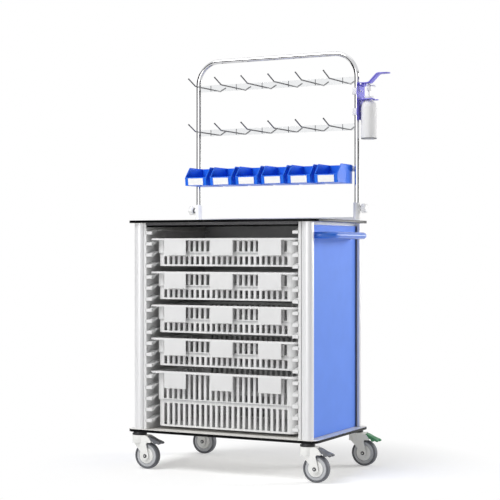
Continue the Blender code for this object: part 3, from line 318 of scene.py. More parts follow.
def carved(shape, tools, operation="DIFFERENCE"):
    """Boolean of a shape with each tool shape in turn, cleaned of the short edges that it leaves."""
    for tool in tools:
        base, other = (linked("carved", to_mesh(item)) for item in (shape, tool))
        modifier = base.modifiers.new("carve", "BOOLEAN")
        modifier.operation = operation
        modifier.solver = "EXACT"
        modifier.object = other
        shape = take_in(applied(base, modifier))
        drop(base)
        drop(other)
    bmesh.ops.remove_doubles(shape, verts=shape.verts, dist=0.0001)
    bmesh.ops.dissolve_limit(shape, angle_limit=math.radians(0.5), verts=shape.verts, edges=shape.edges)
    for face in shape.faces:
        face.smooth = True
    return shape


# Parts: pairs of a shape and its finish

def coated(look, *shapes):
    return [(shape, look) for shape in shapes]


def facing(side):
    return 0 if side > 0 else math.pi


def placed(parts, spot, turned=0):
    """Parts turned about the Z axis and moved to a spot."""
    for shape, _ in parts:
        shape.transform(Matrix.Translation(spot) @ Matrix.Rotation(turned, 4, "Z"))
    return parts


def placed_copy(parts, spot):
    return placed([(mesh.copy(), look) for mesh, look in parts], spot)


def piece(node, ending, body, parts, sharpest=46):
    """Finished piece from its parts, which rides on a body in place of its CAD node.

    A tuple of finishes goes to a shape whose faces are numbered for them.
    """
    name = f"{node}_{ending}"
    whole = bmesh.new()
    used = []
    for shape, looks in parts:
        looks = looks if isinstance(looks, tuple) else (looks,)
        used += [look for look in looks if look not in used]
        first = len(whole.faces)
        take_in(to_mesh(shape), whole)
        whole.faces.ensure_lookup_table()
        for face in whole.faces[first:]:
            face.material_index = used.index(looks[min(face.material_index, len(looks) - 1)])
    mesh = to_mesh(whole, name)
    for look in used:
        mesh.materials.append(finish(look))
    smooth = [face.use_smooth for face in mesh.polygons]
    mesh.set_sharp_from_angle(angle=math.radians(sharpest))
    mesh.polygons.foreach_set("use_smooth", smooth)
    item = linked(name, mesh)
    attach(item, body)
    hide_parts(node)


def plain_piece(node, ending, body, look, round_):
    """Piece that is one block with rounded edges."""
    piece(node, ending, body, coated(look, block(*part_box(node), round_)))


# Node trees

def feed(tree, made, values):
    """Set a node's named or numbered inputs, each to a value or to a link from another node."""
    for label, value in values.items():
        if isinstance(value, bpy.types.NodeSocket):
            tree.links.new(value, made.inputs[label])
        else:
            made.inputs[label].default_value = value
    return made


def add_node(tree, kind, values=None, **settings):
    made = tree.nodes.new(kind)
    for setting, value in settings.items():
        setattr(made, setting, value)
    return feed(tree, made, values or {})


def new_tree(name, inputs):
    """Geometry Nodes tree and the outputs of its input node."""
    tree = bpy.data.node_groups.new(name, "GeometryNodeTree")
    for label, kind in inputs.items():
        tree.interface.new_socket(name=label, in_out="INPUT", socket_type="NodeSocket" + kind)
    tree.interface.new_socket(name="Mesh", in_out="OUTPUT", socket_type="NodeSocketGeometry")
    return tree, tree.nodes.new("NodeGroupInput").outputs


def close_tree(tree, given, geometry):
    """Every tree ends in realized instances with their finish set."""
    real = add_node(tree, "GeometryNodeRealizeInstances", {"Geometry": geometry})
    paint = add_node(tree, "GeometryNodeSetMaterial",
                     {"Geometry": real.outputs["Geometry"], "Material": given["Finish"]})
    add_node(tree, "NodeGroupOutput", {"Mesh": paint.outputs["Geometry"]})
    return tree


def copies_on_points(tree, given, line, more):
    copy = add_node(tree, "GeometryNodeObjectInfo", {"Object": given["Copy"]})
    spread = add_node(tree, "GeometryNodeInstanceOnPoints",
                      {"Points": line.outputs["Mesh"], "Instance": copy.outputs["Geometry"], **more})
    return close_tree(tree, given, spread.outputs["Instances"])


def row_tree(name):
    """Copies of one shape along a straight row."""
    tree, given = new_tree(name, {"Copy": "Object", "Count": "Int", "Start": "Vector", "Step": "Vector",
                                  "Finish": "Material"})
    line = add_node(tree, "GeometryNodeMeshLine", {"Count": given["Count"], "Start Location": given["Start"],
                                                   "Offset": given["Step"]}, mode="OFFSET")
    return copies_on_points(tree, given, line, {})


def ring_tree(name):
    """Copies of one shape round the Y axis, each turned to face outwards."""
    tree, given = new_tree(name, {"Copy": "Object", "Count": "Int", "Finish": "Material"})
    line = add_node(tree, "GeometryNodeMeshLine", {"Count": given["Count"], "Offset": (0, 0, 0)}, mode="OFFSET")
    index = add_node(tree, "GeometryNodeInputIndex")
    share = add_node(tree, "ShaderNodeMath", {0: index.outputs["Index"], 1: given["Count"]}, operation="DIVIDE")
    turned = add_node(tree, "ShaderNodeMath", {0: share.outputs["Value"], 1: WHOLE_TURN}, operation="MULTIPLY")
    about_y = add_node(tree, "ShaderNodeCombineXYZ", {"Y": turned.outputs["Value"]})
    return copies_on_points(tree, given, line, {"Rotation": about_y.outputs["Vector"]})


def bent_tube_tree(name):
    """Round bar or wire along a line of corner points, with each corner bent to a radius."""
    tree, given = new_tree(name, {"Line": "Geometry", "Radius": "Float", "Bend": "Float", "Bend Steps": "Int",
                                  "Sides": "Int", "Finish": "Material"})
    curve = add_node(tree, "GeometryNodeMeshToCurve", {"Mesh": given["Line"]})
    bend = add_node(tree, "GeometryNodeFilletCurve", {"Curve": curve.outputs["Curve"], "Radius": given["Bend"],
                                                      "Count": given["Bend Steps"]}, mode="POLY")
    ring = add_node(tree, "GeometryNodeCurvePrimitiveCircle",
                    {"Resolution": given["Sides"], "Radius": given["Radius"]})
    body = add_node(tree, "GeometryNodeCurveToMesh", {"Curve": bend.outputs["Curve"], "Fill Caps": True,
                                                      "Profile Curve": ring.outputs["Curve"]})
    return close_tree(tree, given, body.outputs["Mesh"])


TREES = {"copies_in_a_row": row_tree, "copies_round_an_axle": ring_tree, "bent_tube": bent_tube_tree}


def grown(name, look, values, line=()):
    """Plain mesh that a tree makes from its named inputs, and from a line of points where it takes one."""
    tree = bpy.data.node_groups.get(name) or TREES[name](name)
    mesh = bpy.data.meshes.new("line")
    mesh.from_pydata(line, [(i, i + 1) for i in range(len(line) - 1)], [])
    host = linked("host", mesh)
    modifier = host.modifiers.new("tree", "NODES")
    modifier.node_group = tree
    identifiers = {socket.name: socket.identifier for socket in tree.interface.items_tree}
    for label, value in {**values, "Finish": finish(look)}.items():
        modifier[identifiers[label]] = value
    made = applied(host, modifier)
    drop(host)
    if not made.polygons:
        raise RuntimeError(f"{name} made no faces")
    return made


def copies(name, look, shape, number, **values):
    """Copies of a shape that a tree sets out, as one mesh."""
    copy = linked("copy", to_mesh(shape))
    made = grown(name, look, {"Copy": copy, "Count": number, **values})
    drop(copy)
    return made


def repeated(shape, look, number, start, step):
    return copies("copies_in_a_row", look, shape, number, Start=start, Step=step)


def ringed(shape, look, number):
    return copies("copies_round_an_axle", look, shape, number)


def bent_tube(line, radius, bend, look, sides=28, steps=14):
    values = {"Radius": radius, "Bend": bend, "Bend Steps": steps, "Sides": sides}
    shape = take_in(grown("bent_tube", look, values, line))
    bmesh.ops.remove_doubles(shape, verts=shape.verts, dist=1e-6)
    bmesh.ops.recalc_face_normals(shape, faces=shape.faces)
    for face in shape.faces:
        face.smooth = len(face.verts) == 4
    return shape


# Finishes: the material's name, its roughness and what else sets it apart

FINISHES = {
    "laminate": ("pale_laminate", 0.42, dict(grain=420, tone=0.02, bump=0.04)),
    "edge": ("dark_laminate_core", 0.17, dict(grain=700, stretch=(1, 1, 6), tone=0.25, bump=0.01, rough_range=0.05,
                                              specular=0.1)),
    "white": ("white_moulding", 0.46, dict(grain=1500, tone=0.025, bump=0.06)),
    "sheet": ("white_sheet", 0.38, dict(grain=500, tone=0.03, bump=0.03)),
    "aluminium": ("satin_aluminium", 0.32, dict(metallic=0.16, grain=1800, stretch=(1, 1, 0.01), tone=0.012,
                                                bump=0.02, rough_range=0.05)),
    "panel": ("blue_laminate", 0.45, dict(grain=650, tone=0.03, bump=0.04, specular=0.08)),
    "handle": ("blue_grip", 0.28, dict(grain=1300, tone=0.05, bump=0.03, coat=0.4, coat_roughness=0.2)),
    "bin": ("blue_moulding", 0.34, dict(grain=1400, tone=0.05, bump=0.05, specular=0.2)),
    "violet": ("violet_powder_coat", 0.36, dict(grain=1800, tone=0.06, bump=0.12)),
    "chrome": ("chrome_plate", 0.07, dict(metallic=1.0, grain=300, tone=0.02, bump=0.01, rough_range=0.03)),
    "satin": ("satin_steel_bar", 0.48, dict(metallic=0.35, grain=1500, stretch=(0.02, 1, 1), tone=0.03, bump=0.03)),
    "clear": ("clear_strip", 0.05, dict(grain=600, tone=0.02, bump=0.005, rough_range=0.02, clear=1.0)),
    "wire": ("steel_wire", 0.40, dict(metallic=0.4, grain=900, tone=0.08, bump=0.03, specular=0.3)),
    "bottle": ("bottle_white", 0.38, dict(grain=260, tone=0.025, bump=0.03)),
    "fork": ("pale_fork_moulding", 0.40, dict(grain=1200, tone=0.03, bump=0.06)),
    "tread": ("grey_rubber", 0.62, dict(grain=1700, tone=0.08, bump=0.15)),
    "dark": ("dark_grey_moulding_and_painted_split_shade", 0.42, dict(grain=1300, tone=0.12, bump=0.08)),
    "slate": ("slate_moulding", 0.45, dict(grain=1300, tone=0.07, bump=0.10)),
    "green": ("green_moulding", 0.42, dict(grain=1300, tone=0.07, bump=0.10)),
    "rim": ("pale_wheel_rim", 0.45, dict(grain=1200, tone=0.04, bump=0.05)),
    "rail": ("grey_strip_and_painted_shadow", 0.45, dict(grain=900, stretch=(0.05, 1, 1), tone=0.08, bump=0.04)),
    "back": ("back_sheet_grey_with_painted_shade", 0.50, dict(grain=520, tone=0.02, bump=0.03)),
    "card": ("bare_label_card", 0.60, dict(grain=2200, tone=0.02, bump=0.04)),
    "bin_card": ("bare_bin_card", 0.60, dict(grain=2200, tone=0.02, bump=0.04)),
    "pale": ("pale_grey_moulding", 0.40, dict(grain=1400, tone=0.04, bump=0.05)),
    "steel": ("bright_steel", 0.28, dict(metallic=1.0, grain=1500, tone=0.06, bump=0.05)),
}


def finish(look):
    """Material of a look, made when it is first asked for."""
    name, roughness, more = FINISHES[look]
    base = getattr(bpy.context.scene.trolley_colours, look)
    return bpy.data.materials.get(name) or grained(name, base, roughness, **more)


def grained(name, base, roughness, grain, tone, bump, metallic=0.0, stretch=(1, 1, 1), rough_range=0.06, coat=0.0,
            coat_roughness=0.1, specular=0.5, clear=0.0):
    """Material whose colour, gloss and surface all vary a little with one grain."""
    made = bpy.data.materials.new(name)
    made.use_nodes = True
    tree = made.node_tree
    place = add_node(tree, "ShaderNodeTexCoord").outputs["Object"]
    spread = add_node(tree, "ShaderNodeMapping", {"Vector": place, "Scale": stretch}).outputs["Vector"]
    fine, broad = (add_node(tree, "ShaderNodeTexNoise", {"Vector": at, "Scale": scale, "Detail": detail}).outputs["Fac"]
                   for at, scale, detail in ((spread, grain, 3.0), (place, 14.0, 2.0)))
    both = add_node(tree, "ShaderNodeMath", {0: fine, 1: 0.6, 2: broad}, operation="MULTIPLY_ADD")
    shade = add_node(tree, "ShaderNodeMapRange", {"Value": both.outputs["Value"], "From Min": 0.5, "From Max": 1.1,
                                                  "To Min": 1 - tone, "To Max": 1 + tone})
    tint = add_node(tree, "ShaderNodeMix", {"Factor": 1.0, 6: (*base, 1.0)}, data_type="RGBA", blend_type="MULTIPLY")
    feed(tree, tint, {7: shade.outputs["Result"]})
    gloss = add_node(tree, "ShaderNodeMapRange", {"Value": fine, "From Min": 0.3, "From Max": 0.7,
                                                  "To Min": max(roughness - rough_range, 0.02),
                                                  "To Max": min(roughness + rough_range, 1.0)})
    relief = add_node(tree, "ShaderNodeBump", {"Height": fine, "Strength": bump, "Distance": 0.0002})
    feed(tree, tree.nodes["Principled BSDF"], {
        "Base Color": tint.outputs[2], "Roughness": gloss.outputs["Result"], "Normal": relief.outputs["Normal"],
        "Metallic": metallic, "Specular IOR Level": specular, "Transmission Weight": clear, "Coat Weight": coat,
        "Coat Roughness": coat_roughness})
    return made


# Stage

def make_camera(stage):
    data = bpy.data.cameras.new("photo_camera")
    data.sensor_width = 36.0
    data.lens = stage.lens
    camera = linked("photo_camera", data)
    camera.location = Vector((MIDDLE.x, MIDDLE.y, 0)) + Vector(stage.camera_offset)
    camera.rotation_euler = (math.pi / 2 + stage.camera_tilt, 0, stage.camera_turn)
    bpy.context.scene.camera = camera


def bare_tree(holder):
    holder.use_nodes = True
    holder.node_tree.nodes.clear()
    return holder.node_tree


def seen_directly(tree):
    """1 for rays that show a surface or the background: from the camera, a mirror or through glass."""
    path = add_node(tree, "ShaderNodeLightPath").outputs
    first = add_node(tree, "ShaderNodeMath", {0: path["Is Camera Ray"], 1: path["Is Glossy Ray"]},
                     operation="MAXIMUM")
    second = add_node(tree, "ShaderNodeMath", {0: first.outputs["Value"], 1: path["Is Transmission Ray"]},
                      operation="MAXIMUM")
    return second.outputs["Value"]


def mixed(tree, share, first, second):
    return add_node(tree, "ShaderNodeMixShader", {"Fac": share, 1: first, 2: second}).outputs["Shader"]


def make_world(stage):
    """Even light, and plain white for the rays that show the background."""
    world = bpy.data.worlds.new("studio")
    bpy.context.scene.world = world
    tree = bare_tree(world)
    soft, white = (add_node(tree, "ShaderNodeBackground", {"Color": (1, 1, 1, 1), "Strength": strength})
                   for strength in (stage.ambient, 1.0))
    shown = mixed(tree, seen_directly(tree), soft.outputs["Background"], white.outputs["Background"])
    add_node(tree, "ShaderNodeOutputWorld", {"Surface": shown})


def make_floor(stage):
    """White floor that keeps a soft shadow near the trolley and fades to plain white away from it."""
    shape = bmesh.new()
    bmesh.ops.create_grid(shape, x_segments=1, y_segments=1, size=24.0)
    floor = linked("floor", to_mesh(shape, "floor"))
    material = bpy.data.materials.new("pale_floor")
    floor.data.materials.append(material)
    tree = bare_tree(material)
    direct = seen_directly(tree)
    matt, shaded = (add_node(tree, "ShaderNodeBsdfDiffuse", {"Color": (tone, tone, tone, 1)}).outputs["BSDF"]
                    for tone in (0.80, stage.shadow))
    glow, white = (add_node(tree, "ShaderNodeEmission", {"Strength": strength}).outputs["Emission"]
                   for strength in (1.0 - 0.9 * stage.shadow, 1.0))
    both = add_node(tree, "ShaderNodeAddShader", {0: shaded, 1: glow})
    near = mixed(tree, direct, matt, both.outputs["Shader"])
    place = add_node(tree, "ShaderNodeTexCoord")
    away = add_node(tree, "ShaderNodeVectorMath", {0: place.outputs["Object"]}, operation="LENGTH")
    fade = add_node(tree, "ShaderNodeMapRange", {"Value": away.outputs["Value"], "From Min": 0.35, "From Max": 0.88})
    far = add_node(tree, "ShaderNodeMath", {0: fade.outputs["Result"], 1: direct}, operation="MULTIPLY")
    add_node(tree, "ShaderNodeOutputMaterial", {"Surface": mixed(tree, far.outputs["Value"], near, white)})


def make_flags(stage):
    """Dark studio flags beside the camera, which only the bright metal and the glossy edges show."""
    distance, low, high, columns = 5.0, 0.01, 3.4, 9
    material = bpy.data.materials.new("flag_cloth")
    material.use_nodes = True
    feed(material.node_tree, material.node_tree.nodes["Principled BSDF"],
         {"Base Color": (0.01, 0.01, 0.01, 1), "Roughness": 1.0, "Specular IOR Level": 0.0})
    to_camera = math.degrees(stage.camera_turn) - 90
    for name, start, stop in (("left_flag", -150, -50), ("right_flag", 47, 112)):
        plan = arc(MIDDLE, distance, to_camera + start, to_camera + stop, columns - 1)
        shape = bmesh.new()
        posts = [[shape.verts.new((x, y, z)) for z in (low, high)] for x, y in plan]
        for near, far in zip(posts, posts[1:]):
            shape.faces.new((near[0], far[0], far[1], near[1]))
        flag = linked(name, to_mesh(shape, name))
        flag.data.materials.append(material)
        flag.visible_camera = flag.visible_diffuse = flag.visible_shadow = False
        flag.visible_transmission = flag.visible_volume_scatter = False


def make_lamps(stage):
    """Soft lamps: a high key at the front left, and weaker ones at the right, in front, above and behind."""
    spots = (("key_lamp", (-1.6, -2.8, 4.6), 3.2, 1.80), ("side_lamp", (4.0, 3.0, 1.8), 1.8, 1.46),
             ("front_lamp", (-0.45, -5.4, 1.4), 2.6, 0.55), ("top_lamp", (0.6, 0.6, 4.5), 2.5, 0.15),
             ("rim_lamp", (2.31, 4.50, 1.0), 1.0, 0.15))
    aim = Vector((MIDDLE.x, MIDDLE.y, 0.7))
    for name, spot, size, share in spots:
        data = bpy.data.lights.new(name, "AREA")
        data.shape = "DISK"
        data.size = size
        lamp = linked(name, data)
        lamp.location = Vector(spot)
        lamp.visible_camera = lamp.visible_transmission = False
        away = aim - lamp.location
        data.energy = stage.key * share * math.pi * away.length_squared
        lamp.rotation_euler = away.to_track_quat("-Z", "Y").to_euler()


class TROLLEY_OT_stage(bpy.types.Operator):
    """Make the camera, the light and the floor"""

    bl_idname = "trolley.stage"
    bl_label = "Stage"

    def execute(self, context):
        context.scene.view_settings.view_transform = "Standard"
        for maker in (make_camera, make_world, make_floor, make_flags, make_lamps):
            maker(context.scene.trolley_stage)
        return {"FINISHED"}


# Cabinet

class TROLLEY_OT_boards(bpy.types.Operator):
    """Make the worktop, the base board and the rear lip"""

    bl_idname = "trolley.boards"
    bl_label = "Boards"

    def execute(self, context):
        sizes = context.scene.trolley_sizes
        # Inset and rise of the rounded edge, as shares of its radius
        edge = ((1, 0), (0.3, 0.3), (0, 1))
        for node in ("worktop", "base_board"):
            low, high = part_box(node)
            levels = [(inset, low.z + rise * sizes.board_round) for inset, rise in edge]
            levels += [(inset, high.z - rise * sizes.board_round) for inset, rise in edge[::-1]]
            loops = []
            for share, z in levels:
                inset = share * sizes.board_round
                plan = round_rectangle(high.x - low.x - 2 * inset, high.y - low.y - 2 * inset,
                                       sizes.board_corner - inset, 12)
                loops.append([(x + MIDDLE.x, y + MIDDLE.y, z) for x, y in plan])
            board = skin(loops)
            for face in board.faces:
                face.material_index = int(abs(face.normal.z) > 0.99)
                face.smooth = face.material_index == 0
            piece(node, "board", "cabinet", [(board, ("edge", "laminate"))])
        plain_piece("rear_lip", "strip", "cabinet", "sheet", 2 * sizes.edge_round)
        return {"FINISHED"}


def post_plan(sizes, span, side_x, end_y):
    """Plan of a corner post: rounds on its outer end and a shallow line along each flat, near the outer corner."""
    small_round, shortest_flat, line_from_end, line_half = 0.002, 0.0035, 0.0012, 0.0010
    radii = []
    for corner_x, corner_y in QUARTERS:
        shoulder = sizes.post_corner if corner_x == side_x else sizes.post_shoulder
        radii.append(shoulder if corner_y == end_y else small_round)
    plan = [Vector(point) for point in round_rectangle(span.x, span.y, radii, 10)]
    outer = Vector((side_x * span.x, end_y * span.y)) / 2
    grooved = []
    for point, after in zip(plan, plan[1:] + plan[:1]):
        grooved.append(point)
        edge = after - point
        if edge.length < shortest_flat:
            continue
        along, inward = edge.normalized(), Vector((-edge.y, edge.x)).normalized()
        starts_outside = (point - outer).length < (after - outer).length
        line = point + along * (line_from_end if starts_outside else edge.length - line_from_end)
        for offset, sink in ((-line_half, 0), (0, sizes.post_groove), (line_half, 0)):
            grooved.append(line + along * offset + inward * sink)
    return grooved


class TROLLEY_OT_posts(bpy.types.Operator):
    """Make the corner posts"""

    bl_idname = "trolley.posts"
    bl_label = "Posts"

    def execute(self, context):
        hollow = 0.86
        first_low, first_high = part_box("post_front_left")
        for end, end_y in (("front", -1), ("rear", 1)):
            for side, side_x in SIDES:
                node = f"post_{end}_{side}"
                low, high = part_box(node)
                plan = post_plan(context.scene.trolley_sizes, first_high - first_low, side_x, end_y)
                shape = tube_wall(plan, [point * hollow for point in plan], low.z, high.z)
                parts = placed(coated("aluminium", shape), (*middle_of(node).xy, 0))
                piece(node, "extrusion", "cabinet", parts, 25)
        return {"FINISHED"}


class TROLLEY_OT_walls(bpy.types.Operator):
    """Make the side panels, walls, back and front rail"""

    bl_idname = "trolley.walls"
    bl_label = "Walls"

    def execute(self, context):
        round_ = context.scene.trolley_sizes.edge_round
        painted_shadow_from, painted_shadow_to, painted_shadow_width = 0.0002, 0.0050, 0.0028
        for side, side_x in SIDES:
            node = f"side_panel_{side}"
            low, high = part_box(node)
            face = high.x if side_x > 0 else low.x
            near, far = sorted((face + side_x * painted_shadow_from, face + side_x * painted_shadow_to))
            # A dark strip along each side panel's rear edge paints the shadow in the corner between the panel and the
            # rear post
            painted_shadow_strip = block((near, high.y - painted_shadow_width, low.z), (far, high.y, high.z), FINE_ROUND)
            piece(node, "sheet", "cabinet", [(block(low, high, 0.6 * round_), "panel"), (painted_shadow_strip, "rail")])
            plain_piece(f"side_wall_{side}", "sheet", "cabinet", "sheet", 0.5 * round_)
        # The back sheet's grey paints in the shade deep inside the cabinet
        plain_piece("back_panel", "sheet", "cabinet", "back", 0.5 * round_)
        low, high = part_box("front_rail")
        shelf = low.z + 0.0068
        strip = block((low.x, low.y + 0.0006, shelf), high, 0.5 * round_)
        lip_y, web_y, lip_z, web_z = low.y + 0.0036, low.y + 0.0052, low.z + 0.0022, shelf - 0.0004
        hem = [(lip_y, low.z), (high.y, low.z), (high.y, web_z), (web_y, web_z), (web_y, lip_z), (lip_y, lip_z)]
        channel = soften(extrude(hem, "X", low.x, high.x), 0.3 * round_)
        piece("front_rail", "profile", "cabinet", [(strip, "rail"), (channel, "edge")])
        return {"FINISHED"}


class TROLLEY_OT_runners(bpy.types.Operator):
    """Make the ledged runner panels"""

    bl_idname = "trolley.runners"
    bl_label = "Runners"

    def execute(self, context):
        sizes = context.scene.trolley_sizes
        wall, root, tab_depth, track_depth = 0.010, 0.004, 0.011, 0.006
        # The tall basket hangs on the fifth ledge
        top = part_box("basket_5")[1].z - sizes.rim_thickness - GAP - 4 * sizes.ledge_pitch
        tab = top - sizes.ledge_rise
        for side, side_x in SIDES:
            node = f"runner_panel_{side}"
            low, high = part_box(node)
            face_x, tip_x = (low.x + wall, high.x) if side_x < 0 else (high.x - wall, low.x)
            near, far = sorted((face_x, face_x + side_x * wall))
            plate = block((near, low.y, low.z), (far, high.y, high.z), sizes.edge_round)
            front, rear = low.y, high.y - wall
            ramp = front + sizes.ledge_tab
            crest = ramp + sizes.ledge_ramp
            track = [(front, tab - tab_depth), (ramp + 0.003, tab - tab_depth), (crest, top - track_depth),
                     (rear, top - track_depth), (rear, top), (crest, top), (ramp, tab), (front, tab)]
            ledge = extrude(track, "X", *sorted((tip_x, face_x + side_x * root)))
            ledges = repeated(soften(ledge, 0.8 * sizes.edge_round), "white", sizes.ledge_count, (0, 0, 0),
                              (0, 0, sizes.ledge_pitch))
            piece(node, "moulding", "cabinet", coated("white", plate, ledges))
        return {"FINISHED"}


class TROLLEY_OT_handle(bpy.types.Operator):
    """Make the push handle"""

    bl_idname = "trolley.handle"
    bl_label = "Handle"

    def execute(self, context):
        radius, bend = 0.012, 0.050
        low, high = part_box("push_handle")
        z = middle_of("push_handle").z
        front, rear, outside = low.y + radius, high.y - radius, high.x - radius
        line = [(low.x, front, z), (outside, front, z), (outside, rear, z), (low.x, rear, z)]
        shapes = [bent_tube(line, radius, bend, "handle")]
        for y in (front, rear):
            seat = turn([(radius + 0.003, 0), (radius + 0.003, 0.002), (radius + 0.0015, 0.0035)], "X")
            shapes.append(shift(seat, (low.x, y, z)))
        piece("push_handle", "bar", "cabinet", coated("handle", *shapes))
        return {"FINISHED"}


# Baskets

def basket_tier(sizes, half_x, half_y, low, high, slot_low, slot_high):
    """One slotted tier of a basket: bands above and below the slots, solid corners and bars between the slots."""
    wall, radius, pitch = sizes.basket_wall, sizes.basket_corner, sizes.slot_pitch
    outer = round_rectangle(2 * half_x, 2 * half_y, radius)
    inner = round_rectangle(2 * (half_x - wall), 2 * (half_y - wall), radius - wall)
    shapes = [tube_wall(outer, inner, *band) for band in ((low, slot_low), (slot_high, high))]
    end_x, end_y = ((slots - 1) / 2 * pitch + sizes.slot_width / 2 for slots in (sizes.slots_wide, sizes.slots_deep))
    corner = []
    for inset, way in ((0, 1), (wall, -1)):
        side = [(end_x, half_y - inset), *arc((half_x - radius, half_y - radius), radius - inset, 90, 0, 8),
                (half_x - inset, end_y)]
        corner += side[::way]
    for side_x, side_y in QUARTERS:
        loop = [(side_x * u, side_y * v) for u, v in corner]
        shapes.append(extrude(loop, "Z", slot_low, slot_high, smooth=True))
    half_bar = (pitch - sizes.slot_width) / 2
    for axis, slots, reach in (("X", sizes.slots_wide, half_y), ("Y", sizes.slots_deep, half_x)):
        start, step = (on_axis(axis, 0, 0, along) for along in (-(slots - 2) / 2 * pitch, pitch))
        for side in BOTH_WAYS:
            near, far = sorted((side * (reach - sizes.bar_depth), side * reach))
            bar = block(on_axis(axis, near, slot_low, -half_bar), on_axis(axis, far, slot_high, half_bar),
                        0.8 * sizes.edge_round)
            shapes.append(repeated(bar, "white", slots - 1, start, step))
    return shapes


def basket_parts(sizes, span, step):
    """Parts of a basket with its rim's top at height 0 and its middle at the origin."""
    height, wall, rim, corner = span.z, sizes.basket_wall, sizes.rim, sizes.basket_corner
    half_x, half_y, lower = span.x / 2, span.y / 2, rim + sizes.step_in
    plate, under, band, head, lower_head = 0.003, 0.002, 0.0065, 0.010, 0.0105

    def outline(inset, radius=corner):
        return round_rectangle(span.x - 2 * inset, span.y - 2 * inset, radius)

    edge = outline(0)
    ledge = tube_wall(outline(rim), outline(lower + wall), -step, -step + wall)
    parts = coated(
        "white",
        soften(tube_wall(edge, outline(rim + wall), -plate, 0), sizes.edge_round, 50),
        tube_wall(edge, outline(wall, corner - wall), -sizes.rim_thickness, -under),
        *basket_tier(sizes, half_x - rim, half_y - rim, -step, -under, -step + band, -head),
        soften(ledge, 0.8 * sizes.edge_round, 50),
        *basket_tier(sizes, half_x - lower, half_y - lower, -height, -step, -height + band, -step - lower_head),
        extrude(outline(lower + wall / 2), "Z", -height, -height + wall))
    wide, tall = sizes.label_width / 2, sizes.label_height
    card_wide = wide - 0.003
    for x in (-sizes.label_pitch, 0, sizes.label_pitch):
        holder = block((x - wide, GAP - half_y, -plate - tall), (x + wide, 0.0028 - half_y, -plate), sizes.edge_round)
        card = block((x - card_wide, -0.0001 - half_y, 0.002 - tall), (x + card_wide, 0.001 - half_y, -0.006),
                     TRIM_ROUND)
        parts += [(holder, "white"), (card, "card")]
    return parts


class TROLLEY_OT_baskets(bpy.types.Operator):
    """Make the slotted baskets with their label holders"""

    bl_idname = "trolley.baskets"
    bl_label = "Baskets"

    def execute(self, context):
        low_step, tall_step = 0.054, 0.105
        patterns = {}
        for i in range(1, 6):
            node = f"basket_{i}"
            low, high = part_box(node)
            step = tall_step if i == 5 else low_step
            if step not in patterns:
                parts = basket_parts(context.scene.trolley_sizes, high - low, step)
                patterns[step] = [(to_mesh(shape), look) for shape, look in parts]
            parts = placed_copy(patterns[step], (*middle_of(node).xy, high.z))
            piece(node, "moulding", node, parts)
        return {"FINISHED"}


# Rack

def knob_loop(radius, along, lobe):
    """Loop about the X axis with six lobes."""
    loop, points = [], 96
    for i in range(points):
        turned = WHOLE_TURN * i / points
        size = radius - lobe * (0.5 - 0.5 * math.cos(6 * turned)) ** 2
        loop.append((along, size * math.cos(turned), size * math.sin(turned)))
    return loop


class TROLLEY_OT_sockets(bpy.types.Operator):
    """Make the rack's sockets and clamp knobs"""

    bl_idname = "trolley.sockets"
    bl_label = "Sockets"

    def execute(self, context):
        star, stem, boss_out = 0.0185, 0.004, 0.003
        for side, side_x in SIDES:
            node = f"rack_socket_{side}"
            low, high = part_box(node)
            radius, tall = (high.y - low.y) / 2, high.z - low.z
            axis = (low.x + radius if side_x > 0 else high.x - radius, middle_of(node).y)
            knob_z = middle_of(f"clamp_knob_{side}").z
            cup = turn([(BORE, 0), (radius - 0.0015, 0), (radius + 0.0002, 0.0015), (radius + 0.0002, 0.0098),
                        (radius, 0.010), (radius, tall - 0.0015), (radius - 0.0015, tall), (0.0102, tall),
                        (BORE, tall - 0.001), (BORE, 0.006)], capped=False)
            boss = turn([(0.008, radius - 0.004), (0.008, radius + 0.0024), (0.0074, radius + boss_out)], "X", 32)
            parts = coated("pale", cup, shift(boss, (0, 0, knob_z - low.z)))
            piece(node, "cup", "cabinet", placed(parts, (*axis, low.z), facing(side_x)))
            start = radius + boss_out + GAP
            hub = skin([knob_loop(size, along, 0) for size, along in (
                (stem, 0.0093), (stem, start), (0.0096, start), (0.0100, start + 0.0006), (0.0100, start + 0.0046))])
            head = skin([knob_loop(star - inset, start + along, lobe) for inset, along, lobe in (
                (0.006, 0.0036, 0.004), (0.0016, 0.0044, 0.004), (0, 0.0068, 0.0042), (0, 0.0180, 0.0042),
                (0.001, 0.0208, 0.0038), (0.0035, 0.0230, 0.003), (0.009, 0.0240, 0.001), (star - stem, 0.0240, 0))])
            piece(f"clamp_knob_{side}", "star", f"knob_{side}",
                  placed([(hub, "dark"), (head, "pale")], (*axis, knob_z), facing(side_x)))
        return {"FINISHED"}


class TROLLEY_OT_rack_tube(bpy.types.Operator):
    """Make the rack's bow and the bins' rail"""

    bl_idname = "trolley.rack_tube"
    bl_label = "Rack tube"

    def execute(self, context):
        radius, bend = 0.009, 0.090
        low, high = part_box("rack_tube")
        y = middle_of("rack_tube").y
        left, right, top = low.x + radius, high.x - radius, high.z - radius
        line = [(left, y, low.z), (left, y, top), (right, y, top), (right, y, low.z)]
        bow = bent_tube(line, radius, bend, "chrome", 36, 20)
        piece("rack_tube", "bow", "rack", coated("chrome", bow))
        plain_piece("bin_rail", "bar", "rack", "satin", BAR_ROUND)
        return {"FINISHED"}


